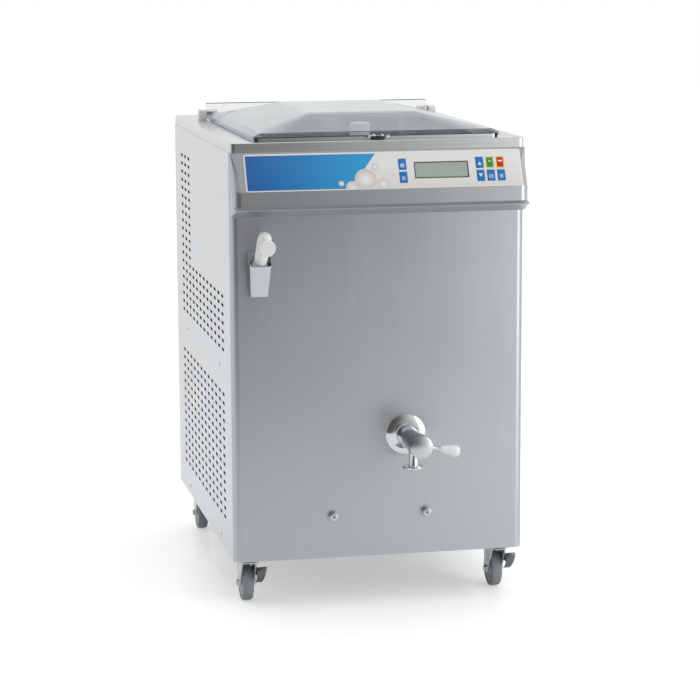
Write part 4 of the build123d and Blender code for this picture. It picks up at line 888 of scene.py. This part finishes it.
def make_lid():
    """Vacuum formed lid: a short skirt, a chamfered rim and a hipped crown with soft bends."""
    y0, y1 = front + 15.5, high("lid_shell").y
    half = 272.0
    rim_half = half - 18
    rim_y1 = y1 - 18
    edge_z, rim_z, top_z = plate_top + 10, plate_top + 19, plate_top + 50
    crown = (-rim_half, rim_half, y0, rim_y1)
    flat = (-121.0, 121.0, front + 170.5, front + 542.5)

    def crown_section(share, lift=0.0):
        x0, x1, ya, yb = (a + (b - a) * share for a, b in zip(crown, flat))
        return (rim_z + (top_z - rim_z) * share + lift, x0, x1, ya, yb, (60 - 52 * share,) * 4)

    sections = [
        (plate_top + 3, -half, half, y0, y1, (2.0,) * 4),
        (edge_z - 1.0, -half, half, y0, y1, (2.0,) * 4),
        (edge_z + 0.6, -half + 0.8, half - 0.8, y0, y1 - 0.8, (2.0,) * 4),
        (rim_z - 1.0, -rim_half - 2.0, rim_half + 2.0, y0, rim_y1 + 2.0, (3.0,) * 4),
        (rim_z - 0.05, -rim_half - 0.6, rim_half + 0.6, y0 + 0.4, rim_y1 + 0.6, (4.0,) * 4),
        crown_section(0.0, 0.05),
        crown_section(0.02, -0.05),
        crown_section(0.5),
        crown_section(0.95),
        crown_section(0.985, -0.25),
        crown_section(1.02, -0.65),
        crown_section(1.06, -1.9),
    ]
    skin = loft("lid_moulding", sections, 10, (False, True))
    drop_faces(skin, lambda c, n: n.y < -0.9 and c.z < edge_z - 1.2 and abs(c.x) < half - 3)
    thicken(skin, 2.0)
    soften(skin, 0.4, 1, 60)
    finish_piece(skin, "lid", clear_lid, ["lid_shell"], smooth=12)
    band = block("lid_rear_band", -half, half, y1 - 2.5, y1, plate_top + 10, plate_top + 39)
    soften(band, 0.6, 2)
    finish_piece(band, "lid", clear_lid)
    # Thin dark rods along the rim's bend, down its two ends and along the top of the rear band: painted shade
    # of the dark lines at the clear sheet's bends.
    lip_y = y0 + 0.3
    bend_x, bend_z = rim_half + 0.5, rim_z - 0.3
    band_x, band_y, band_z = half - 1, y1 - 1.2, plate_top + 38.6
    lines = [
        rod("bend_line", (-bend_x, lip_y, bend_z), (bend_x, lip_y, bend_z), 0.55, 8),
        rod("band_line", (-band_x, band_y, band_z), (band_x, band_y, band_z), 0.9, 8),
    ]
    for side in (-1, 1):
        top_end = (side * bend_x, lip_y, bend_z)
        lines.append(rod("bend_line", top_end, (side * (half - 0.6), lip_y, edge_z + 0.4), 0.55, 8))
    finish_piece(join("lid_bend_lines", lines), "lid", painted_bend_shade)


def make_lid_grip():
    """Black grip under a bright pressed plate with two rivets."""
    x1 = high("lid_grip").x
    y0, y1 = low("lid_grip").y, high("lid_grip").y
    z0, z1 = low("lid_grip").z, high("lid_grip").z
    grip = block("grip_moulding", -x1 + 2, x1 - 2, y0, y1 - 2.6, z0 + 0.4, z0 + 7.6)
    round_edges(grip, lambda a, b: abs(a.y - b.y) > 5, 3.2, 5)
    soften(grip, 1.2, 3)
    finish_piece(grip, "lid", black_plastic, ["lid_grip"])
    plates = []
    for side in (-1, 1):
        xa, xb = sorted((side * (x1 - 6), side * (x1 + 8)))
        wing = block("wing", xa, xb, y0 + 5, y1, z0 + 3.4, z1 - 1)
        round_edges(wing, lambda a, b, o=side * (x1 + 8): abs(a.y - b.y) > 3 and abs(a.x - o) < 0.1, 3.0, 5)
        soften(wing, 0.6, 2)
        plates.append(wing)
        spot = (side * (x1 - 8), y0 + 7, z1 - 3.4)
        rivet = [(4, -1), (4, 1.6), (3.2, 3.2), (1.6, 4.2), (0.01, 4.4)]
        plates.append(turned("rivet", rivet, spot, (0, 0, 1), 24))
    bridge = block("plate", -x1 + 4, x1 - 4, y1 - 3, y1, z0 + 6.5, z1 - 1.5)
    soften(bridge, 0.6, 2)
    finish_piece(join("grip_plates", plates + [bridge]), "lid", polished_steel)


def make_hinges():
    pin_y = (low("hinge_pins").y + high("hinge_pins").y) / 2
    pin_z = (low("hinge_pins").z + high("hinge_pins").z) / 2
    knuckles = []
    blocks = []
    for side in (-1, 1):
        rings = [(5.4, 0), (6.8, 1.2), (7, 2.2), (7, 24.6), (6.6, 26), (4, 26.2), (4, 40)]
        knuckles.append(turned("knuckle", rings, (side * 246, pin_y, pin_z), (side, 0, 0), 32))
        xa, xb = sorted((side * 273.3, side * 290.8))
        body = block("hinge_block", xa, xb, pin_y - 14, pin_y + 14, plate_top, plate_top + 26)
        round_edges(body, lambda a, b: abs(a.x - b.x) > 5 and a.z > plate_top + 20, 6, 6)
        soften(body, 0.8, 3, 50)
        blocks.append(body)
    finish_piece(join("hinge_knuckles", knuckles), "lid", satin_steel, ["hinge_pins"])
    finish_piece(join("hinge_bearings", blocks), "cabinet", white_plastic, ["hinge_blocks"])


# Agitator seen through the lid

def make_agitator():
    x, y = 58.0, front + 467.5
    rings = [(10, 330), (10, 366), (10, 1019)]
    shaft = turned("agitator_shaft", rings, (x, y, 0), (0, 0, 1), 32)
    disc_rings = [(60, 0), (62, 1), (62, 2.4), (61, 3), (20.5, 3.4), (20, 26), (11, 27)]
    disc = turned("impeller_disc", disc_rings, (x, y, 368), (0, 0, 1), 48)
    blades = []
    for index in range(4):
        blade = block("blade", 14, 60, -1.5, 1.5, 371, 394)
        blade.data.transform(Matrix.Translation((x * MM, y * MM, 0)) @ Matrix.Rotation(index * pi / 2, 4, "Z"))
        blades.append(blade)
    whole = join("agitator_shaft_and_impeller", [shaft, disc] + blades)
    finish_piece(whole, "agitator_set", polished_steel, ["agitator"])
    knob_rings = [(23, 985), (24, 986), (24, 1024), (22.5, 1028.5), (18, 1031), (0.01, 1031)]
    knob = turned("agitator_cap", knob_rings, (x, y, 0), (0, 0, 1), 48)
    finish_piece(knob, "agitator_set", white_plastic, ["agitator_knob"])


# Tap

tap_x, tap_z = 58.0, 381.0


def make_tap():
    flange = turned("tap_rose", [
        (44.4, 0), (45, 0.5), (45, 2.0), (44.2, 3.0), (38, 5.2), (31, 6.6), (27, 7.0), (23.5, 7.2),
        (22.2, 8.5), (22.0, 9.0),
    ], (tap_x, front, tap_z), (0, -1, 0), 72)
    finish_piece(flange, "cabinet", polished_steel, ["tap_flange"], smooth=30)
    barrel = turned("tap_barrel", [
        (21.0, -8), (22, -8), (22, 114.5), (21.6, 116.4), (20.6, 117), (15.1, 117), (15.1, 60), (12, 59),
    ], (tap_x, front, tap_z), (0, -1, 0), 72)
    spout_y, spout_end = front - 78, tap_z - 62
    spout = turned("spout", [
        (7.5, 0), (9.2, 0), (10, 0.8), (10, 2), (20, 2.0), (23.2, 2.4), (24, 3.4), (24, 4.8), (23.2, 5.8),
        (20, 6.1), (11.5, 6.4), (10.2, 7.6), (10, 9), (10, 57),
    ], (tap_x, spout_y, spout_end), (0, 0, 1), 48)
    bore = rod("bore", (tap_x, spout_y, spout_end - 10), (tap_x, spout_y, spout_end + 20), 7.6, 32)
    cut(spout, bore)
    whole = join("tap_barrel_and_spout", [barrel, spout])
    finish_piece(whole, "cabinet", polished_steel, ["tap_body"], smooth=30)
    cap = turned("tap_end_cap", [
        (15, -58), (15, 0.1), (23.8, 0.2), (25, 1.4), (25, 35.0), (24.4, 36.8), (22.8, 37.6), (0.01, 37.7),
    ], (tap_x, front - 117.3, tap_z), (0, -1, 0), 72)
    finish_piece(cap, "tap_valve", satin_steel, ["tap_plug"], smooth=30)
    droop = radians(11)
    outward = Vector((cos(droop), 0, -sin(droop)))
    root = Vector((tap_x, front - 130, tap_z))
    lever = turned("tap_lever_bar", [
        (4.5, 16), (4.5, 27), (6.2, 27.4), (6.2, 30.4), (4.6, 31), (4.5, 31.4), (4.5, 44.5), (5.6, 45),
        (5.6, 47.4), (4.4, 47.6), (4.4, 60),
    ], root, outward, 32)
    finish_piece(lever, "tap_valve", polished_steel, ["tap_lever"], smooth=30)
    knob = turned("tap_handle", [
        (5.2, 47.2), (6.4, 47.3), (7.0, 48.2), (8.2, 54), (9.8, 62), (11.4, 70), (12.6, 76), (13.0, 80),
        (12.6, 84), (11.2, 87.6), (8.6, 89.9), (5.0, 91.0), (2.0, 91.3), (0.01, 91.35),
    ], root, outward, 48)
    finish_piece(knob, "tap_valve", white_plastic, ["tap_knob"], smooth=40)


# Hand shower and pocket

def make_shower():
    x, lean = -266.0, radians(26)
    seat = Vector((x, front - 19, 764))
    upward = Vector((0.085, -sin(lean), cos(lean))).normalized()
    body = turned("shower_handset", [
        (7.6, -20), (8, -19.4), (8, 0), (15.8, 0.1), (17, 1.2), (17, 4.6), (15.9, 6), (14.2, 6.4), (13.9, 8),
        (14.2, 20), (14.8, 40), (15, 62), (15, 69), (14.4, 74.5), (12.4, 79.4), (9.4, 82.4), (5, 83.8),
        (0.01, 84),
    ], seat, upward, 48)
    finish_piece(body, "shower", white_plastic, ["shower_body"], smooth=40)
    centre = seat + upward * 53
    facing = Vector((0.18, -cos(radians(6)), -sin(radians(6)))).normalized()
    head = turned("shower_spray_head", [
        (14.8, 2), (15.8, 8), (15.8, 14.6), (15.2, 15), (15.2, 15.8), (16.2, 16.2), (17.4, 18), (18, 21),
        (18, 27), (17.4, 28.8), (16.2, 29.6), (15.4, 29.7), (14.9, 29.0), (0.01, 28.8),
    ], centre, facing, 56)
    finish_piece(head, "shower", white_plastic, ["shower_head"], smooth=35)
    face = turned("spray_face", [(14.6, 28.4), (14.6, 29.2), (14.2, 29.5), (0.01, 29.5)], centre, facing, 48)
    finish_piece(face, "shower", pale_plastic, smooth=35)


def make_holder():
    """Pocket folded from sheet, wide at its sloped mouth and closed at its foot."""
    x = -266.0
    low_z, high_z = 698.0, 794.0

    def section(z):
        share = (z - low_z) / (high_z - low_z)
        out = 17 + 35 * share
        half = (39 + 12 * share) / 2
        radius = 7.0 + 3.0 * share
        return (z, x - half, x + half, front - out, front + 0.2, (radius, radius, 0, 0))

    skin = loft("pocket", [section(z) for z in (low_z, low_z + 30, low_z + 60, high_z + 6)], 10, (True, False))
    thicken(skin, 1.5)
    slope = radians(33.7)
    above = block("above", x - 60, x + 60, -160, 60, 0, 90)
    above.data.transform(Matrix.Translation(Vector((0, front, high_z)) * MM) @ Matrix.Rotation(slope, 4, "X"))
    cut(skin, above)
    soften(skin, 0.35, 1, 60)
    lean = radians(26)
    seat = Vector((x, front - 19, 764))
    upward = (0, -sin(lean), cos(lean))
    seat_rings = [(10, -1.5), (20, -1.5), (20, 0), (10, 0), (10, -1.5)]
    ring = turned("pocket_seat", seat_rings, seat, upward, 32)
    whole = join("shower_pocket", [skin, ring])
    return finish_piece(whole, "cabinet", satin_steel, ["shower_holder"], smooth=30)


# Studs and screws

def make_studs():
    studs = []
    for side in (-1, 1):
        spot = (side * 105, front, 204)
        stud = turned("stud", [(10, 0), (10, 10.4), (9.4, 11.6), (8.4, 12), (0.01, 12)], spot, (0, -1, 0), 40)
        socket = turned("socket", [(3.0, 5), (3.0, 14)], spot, (0, -1, 0), 6)
        cut(stud, socket)
        studs.append(stud)
        studs.append(turned("shank", [(4, -7), (4, 0.2)], spot, (0, -1, 0), 24))
    finish_piece(join("shelf_stud_heads", studs), "cabinet", satin_steel, ["shelf_studs"], smooth=30)


def make_screws():
    screws = []
    middle = (front + rear) / 2
    for side in (-1, 1):
        for y in (middle - 247, middle + 247):
            for z in (132, 522):
                spot = (side * 325, y, z)
                rings = [(4.5, 0), (4.4, 0.7), (3.4, 1.6), (1.8, 2.0), (0.01, 2.0)]
                head = turned("screw", rings, spot, (side, 0, 0), 24)
                xa, xb = sorted((side * 326, side * 329))
                cut(head, block("slot", xa, xb, y - 2.4, y + 2.4, z - 0.5, z + 0.5))
                screws.append(head)
    finish_piece(join("side_screws", screws), "cabinet", satin_steel, ["panel_screws"], smooth=30)
    lip = []
    for x in (-118, 118):
        rings = [(3.6, 0), (3.2, 1.2), (1.4, 1.9), (0.01, 1.9)]
        lip.append(turned("lip_screw", rings, (x, low("frame").y + 50.4, 106), (0, -1, 0), 20))
    finish_piece(join("lip_screws", lip), "cabinet", black_enamel, smooth=30)


# Castors

def make_castor(corner, braked):
    x = (low("castor_tyre_" + corner).x + high("castor_tyre_" + corner).x) / 2
    axle_y = (low("castor_tyre_" + corner).y + high("castor_tyre_" + corner).y) / 2
    pivot_y = axle_y - 26
    axle_z, crown = 40.0, 96.7
    fork_body, wheel_body = "fork_" + corner, "wheel_" + corner
    tyre = turned("tread_" + corner, [
        (30, -12), (35.5, -12), (38.2, -11), (39.6, -8.4), (40, -5), (40, 5), (39.6, 8.4), (38.2, 11),
        (35.5, 12), (30, 12), (29, 12), (29, -12), (30, -12),
    ], (x, axle_y, axle_z), (1, 0, 0), 56)
    finish_piece(tyre, wheel_body, grey_rubber, ["castor_tyre_" + corner], smooth=35)
    wheel = turned("wheel_centre_" + corner, [
        (5, -13.6), (10, -13.6), (11, -12.8), (11, -3.2), (24.6, -2.5), (25.4, -9.6), (26.2, -10.2),
        (29, -10.2), (29, 10.2), (26.2, 10.2), (25.4, 9.6), (24.6, 2.5), (11, 3.2), (11, 12.8), (10, 13.6),
        (5, 13.6), (4.2, 13.4), (4.2, -13.4), (5, -13.6),
    ], (x, axle_y, axle_z), (1, 0, 0), 48)
    finish_piece(wheel, wheel_body, pale_plastic, ["castor_wheel_" + corner], smooth=35)
    parts = []
    for side in (-1, 1):
        inner, outer = x + side * 14, x + side * 17
        xa, xb = sorted((inner, outer))
        leg = block("leg", xa, xb, pivot_y - 23, pivot_y + 44, axle_z - 11, crown)
        slide(leg, lambda spot: spot.z < 60 and spot.y < pivot_y, (0, 40, 0))
        slide(leg, lambda spot: spot.z < 60 and spot.y > pivot_y + 30, (0, -8, 0))
        round_edges(leg, lambda a, b: abs(a.x - b.x) > 1 and a.z < 60, 8, 5)
        round_edges(leg, lambda a, b: abs(a.x - b.x) > 1 and a.z > 80 and a.y > (pivot_y + 20), 10, 4)
        soften(leg, 0.6, 2, 50)
        parts.append(leg)
        nut_rings = [(7, 0), (7, 4.2), (6.2, 5), (0.01, 5)]
        parts.append(turned("nut", nut_rings, (outer, axle_y, axle_z), (side, 0, 0), 6))
    crown_rings = [(20, -3), (25.8, -3), (27, -2), (27, -1), (25.8, 0), (18, 0)]
    parts.append(turned("crown", crown_rings, (x, pivot_y, crown), (0, 0, 1), 48))
    bridge = block("bridge", x - 17, x + 17, pivot_y - 23, pivot_y + 34, crown - 3, crown)
    round_edges(bridge, lambda a, b: abs(a.y - b.y) > 5 and a.z > crown - 1, 2.4, 4)
    parts.append(bridge)
    parts.append(rod("axle", (x - 14, axle_y, axle_z), (x + 14, axle_y, axle_z), 4, 24))
    if braked:
        parts.append(rod("pedal_pin", (x + 17, pivot_y + 4, 72), (x + 24, pivot_y + 4, 72), 3.5, 24))
    whole = join("fork_pressing_" + corner, parts)
    finish_piece(whole, fork_body, zinc_steel, ["castor_fork_" + corner], smooth=35)


def make_castor_plates():
    parts = []
    for corner in ("front_left", "front_right", "rear_left", "rear_right"):
        x = (low("castor_tyre_" + corner).x + high("castor_tyre_" + corner).x) / 2
        y = (low("castor_tyre_" + corner).y + high("castor_tyre_" + corner).y) / 2 - 26
        plate = block("plate", x - 36, x + 36, y - 48, y + 48, 107, 110)
        round_edges(plate, upright_edge, 6, 4)
        soften(plate, 0.4, 2, 50)
        parts.append(plate)
        race_rings = [(18, -10), (23.6, -10), (25, -8.6), (25, -6), (22, -4), (22, 0)]
        parts.append(turned("race", race_rings, (x, y, 107), (0, 0, 1), 48))
        parts.append(rod("kingpin", (x, y, 88.7), (x, y, 97.5), 5.9, 24))
        for dx in (-28, 28):
            for dy in (-38, 38):
                bolt_rings = [(5.5, -3.6), (6, -3.2), (6, 0)]
                parts.append(turned("bolt", bolt_rings, (x + dx, y + dy, 107), (0, 0, 1), 6))
    finish_piece(join("castor_top_plates", parts), "cabinet", zinc_steel, ["castor_plates"], smooth=35)


def make_pedals():
    """Toe pedals: a curved tread that hangs from a cheek on the pin."""
    for corner in ("front_left", "front_right"):
        x0, x1 = low("brake_pedal_" + corner).x, high("brake_pedal_" + corner).x
        pivot_y = high("brake_pedal_" + corner).y - 7
        cheek = block("cheek", x0, x0 + 3, pivot_y - 25, pivot_y + 7, 64, 80)
        round_edges(cheek, lambda a, b: abs(a.x - b.x) > 1 and a.y > pivot_y, 6, 5)
        tread = rod("tread", (x0, pivot_y, 72), (x1, pivot_y, 72), 27.5, 64)
        cut(tread, rod("hollow", (x0 - 1, pivot_y, 72), (x1 + 1, pivot_y, 72), 24.5, 64))
        cut(tread, block("behind", x0 - 2, x1 + 2, pivot_y - 5, pivot_y + 40, 30, 120))
        cut(tread, block("above", x0 - 2, x1 + 2, pivot_y - 40, pivot_y, 84, 120))
        slope = block("slope", x1, x1 + 30, pivot_y - 40, pivot_y, 30, 84)
        hinge = Vector((x1, 0, 78)) * MM
        place(slope, Matrix.Translation(-hinge))
        place(slope, Matrix.Rotation(radians(16), 4, "Y"))
        place(slope, Matrix.Translation(hinge))
        cut(tread, slope)
        soften(tread, 0.6, 2, 50)
        soften(cheek, 0.5, 2, 50)
        # The pedals take the darker zinc: painted shade of pedals that sit in shadow.
        finish_piece(
            join("pedal_pressing_" + corner, [cheek, tread]), "pedal_" + corner, zinc_in_painted_shade,
            ["brake_pedal_" + corner], smooth=35,
        )


# Fittings at the back

def make_rear_fittings():
    x, z = 200.0, 230.0
    threads = [(8, -10), (13.2, -10), (13.2, 1)]
    height = 9.0
    while height < 26:
        threads += [(12.2, height), (13.2, height + 0.9)]
        height += 1.8
    threads += [(12.4, 28), (8, 28), (8, -10)]
    stub = turned("water_stub_thread", threads, (x, rear, z), (0, 1, 0), 40)
    hexagon_rings = [(13, 0), (18.2, 0), (19, 0.8), (19, 7.2), (18.2, 8), (13, 8)]
    hexagon = turned("water_stub_hexagon", hexagon_rings, (x, rear, z), (0, 1, 0), 6)
    finish_piece(join("water_stub", [stub, hexagon]), "cabinet", turned_brass, ["water_inlet"], smooth=30)
    gland = turned("gland_nut", [
        (6, -10), (10, -10), (10, 0), (13.4, 0), (14, 0.8), (14, 7.2), (13.4, 8), (12, 8.4), (12, 16),
        (10, 20.6), (7.5, 22), (6, 22), (6, -10),
    ], (120, rear, z), (0, 1, 0), 40)
    finish_piece(gland, "cabinet", black_plastic, ["cable_gland"], smooth=30)


# Finishes of the CAD pieces that stay

def dress_kept_nodes():
    finishes = {
        "frame": painted_frame, "control_board": board_green, "tank_jacket": foam, "drive_motor": black_enamel,
        "compressor": black_enamel, "condenser": fin_pack, "fan": black_plastic, "fan_motor": black_enamel,
        "electrical_box": grey_cover,
    }
    for name, material in finishes.items():
        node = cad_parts[name]
        node.data.materials.clear()
        node.data.materials.append(material)


# Floor, backdrop and light

def make_floor():
    """White studio floor that keeps the soft shadow and a faint mirror image; it ends before the camera.

    The camera's lift makes it white round the shadow, and the lift that metal and glass see makes it
    white in them too, and no brighter than that.
    """
    clear_selection()
    bpy.ops.mesh.primitive_plane_add(size=1, location=(0, 7.2, 0))
    bpy.context.object.scale = (24, 19.6, 1)
    floor = settle("studio_floor")
    made, tree = new_material("white_studio_floor")
    path = add(tree, "ShaderNodeLightPath")
    matte = add(tree, "ShaderNodeBsdfDiffuse", None, Color=linear("#F4F5F6"))
    seen = add(tree, "ShaderNodeMath", {"operation": "MULTIPLY"}, i0=path.outputs["Is Camera Ray"], i1=0.42)
    mirrored = add(
        tree, "ShaderNodeMath", {"operation": "MAXIMUM"},
        i0=path.outputs["Is Glossy Ray"], i1=path.outputs["Is Transmission Ray"],
    )
    strength = add(
        tree, "ShaderNodeMath", {"operation": "MULTIPLY_ADD"},
        i0=mirrored.outputs[0], i1=0.26, i2=seen.outputs[0],
    )
    lift = add(tree, "ShaderNodeEmission", None, Color=(1, 1, 1, 1), Strength=strength.outputs[0])
    both = add(tree, "ShaderNodeAddShader", None, i0=matte.outputs[0], i1=lift.outputs[0])
    mirror = add(tree, "ShaderNodeBsdfGlossy", None, Color=(1, 1, 1, 1), Roughness=0.12)
    sheen = add(tree, "ShaderNodeMixShader", None, i0=0.06, i1=both.outputs[0], i2=mirror.outputs[0])
    add(tree, "ShaderNodeOutputMaterial", None, Surface=sheen.outputs[0])
    floor.data.materials.append(made)


def make_world():
    """Studio round the object: white behind and beside it, a dark corner to the left of the camera."""
    world = bpy.data.worlds.new("studio")
    bpy.context.scene.world = world
    world.use_nodes = True
    tree = world.node_tree
    tree.nodes.clear()
    place_node = add(tree, "ShaderNodeTexCoord")
    split = add(tree, "ShaderNodeSeparateXYZ", None, Vector=place_node.outputs["Generated"])
    ahead = add(tree, "ShaderNodeMath", {"operation": "MULTIPLY"}, i0=split.outputs[1], i1=-1.0)
    around = add(tree, "ShaderNodeMath", {"operation": "ARCTAN2"}, i0=split.outputs[0], i1=ahead.outputs[0])
    share = add(tree, "ShaderNodeMapRange", None, i0=around.outputs[0], i1=-pi, i2=pi, i3=0.0, i4=1.0)
    walls = add(tree, "ShaderNodeValToRGB", None, Fac=share.outputs[0])
    ramp = walls.color_ramp
    for spot, level in WALL_LEVELS:
        stop = ramp.elements.new(spot) if 0 < spot < 1 else ramp.elements[0 if spot == 0 else -1]
        stop.color = (level, level, level, 1)
    over = add(
        tree, "ShaderNodeMapRange", {"interpolation_type": "SMOOTHSTEP"},
        i0=split.outputs[2], i1=0.3, i2=0.75, i3=0.0, i4=1.0,
    )
    level = add(
        tree, "ShaderNodeMix", {"data_type": "FLOAT"}, i0=over.outputs[0], i2=walls.outputs[0], i3=0.7,
    )
    path = add(tree, "ShaderNodeLightPath")
    strength = add(
        tree, "ShaderNodeMath", {"operation": "MAXIMUM"},
        i0=level.outputs[0], i1=path.outputs["Is Camera Ray"],
    )
    light = add(tree, "ShaderNodeBackground", None, Color=(1, 1, 1, 1), Strength=strength.outputs[0])
    add(tree, "ShaderNodeOutputWorld", None, Surface=light.outputs[0])


# Brightness of the studio's walls from behind, round by the left, the camera and the right.
WALL_LEVELS = (
    (0.0, 1.0), (0.27, 1.0), (0.33, 0.14), (0.47, 0.10), (0.505, 0.16), (0.575, 0.85), (0.68, 1.0), (1.0, 1.0),
)


def add_lamp(name, spot, target, size, power):
    lamp = bpy.data.lights.new(name, "AREA")
    lamp.shape = "RECTANGLE"
    lamp.size, lamp.size_y = size
    lamp.energy = power
    holder = bpy.data.objects.new(name, lamp)
    bpy.context.scene.collection.objects.link(holder)
    holder.location = spot
    holder.rotation_mode = "QUATERNION"
    holder.rotation_quaternion = (Vector(target) - Vector(spot)).to_track_quat("-Z", "Y")


place_camera()
make_floor()
make_world()
add_lamp("soft_box_over", (0.2, 0.3, 3.4), (0, 0, 0.4), (2.6, 2.6), 14)
add_lamp("soft_box_right", (2.3, -2.4, 1.0), (0.1, -0.3, 0.5), (1.6, 2.2), 22)

make_front_panel()
make_side_panels()
make_rear_panel()
make_top_plate()
make_tank()
make_seal()
make_hood()
make_label()
make_display()
make_keys()
make_lid()
make_lid_grip()
make_hinges()
make_agitator()
make_tap()
make_shower()
make_holder()
make_studs()
make_screws()
for corner in ("front_left", "front_right", "rear_left", "rear_right"):
    make_castor(corner, corner.startswith("front"))
make_castor_plates()
make_pedals()
make_rear_fittings()
dress_kept_nodes()

view_settings = bpy.context.scene.view_settings
view_settings.view_transform = "Standard"
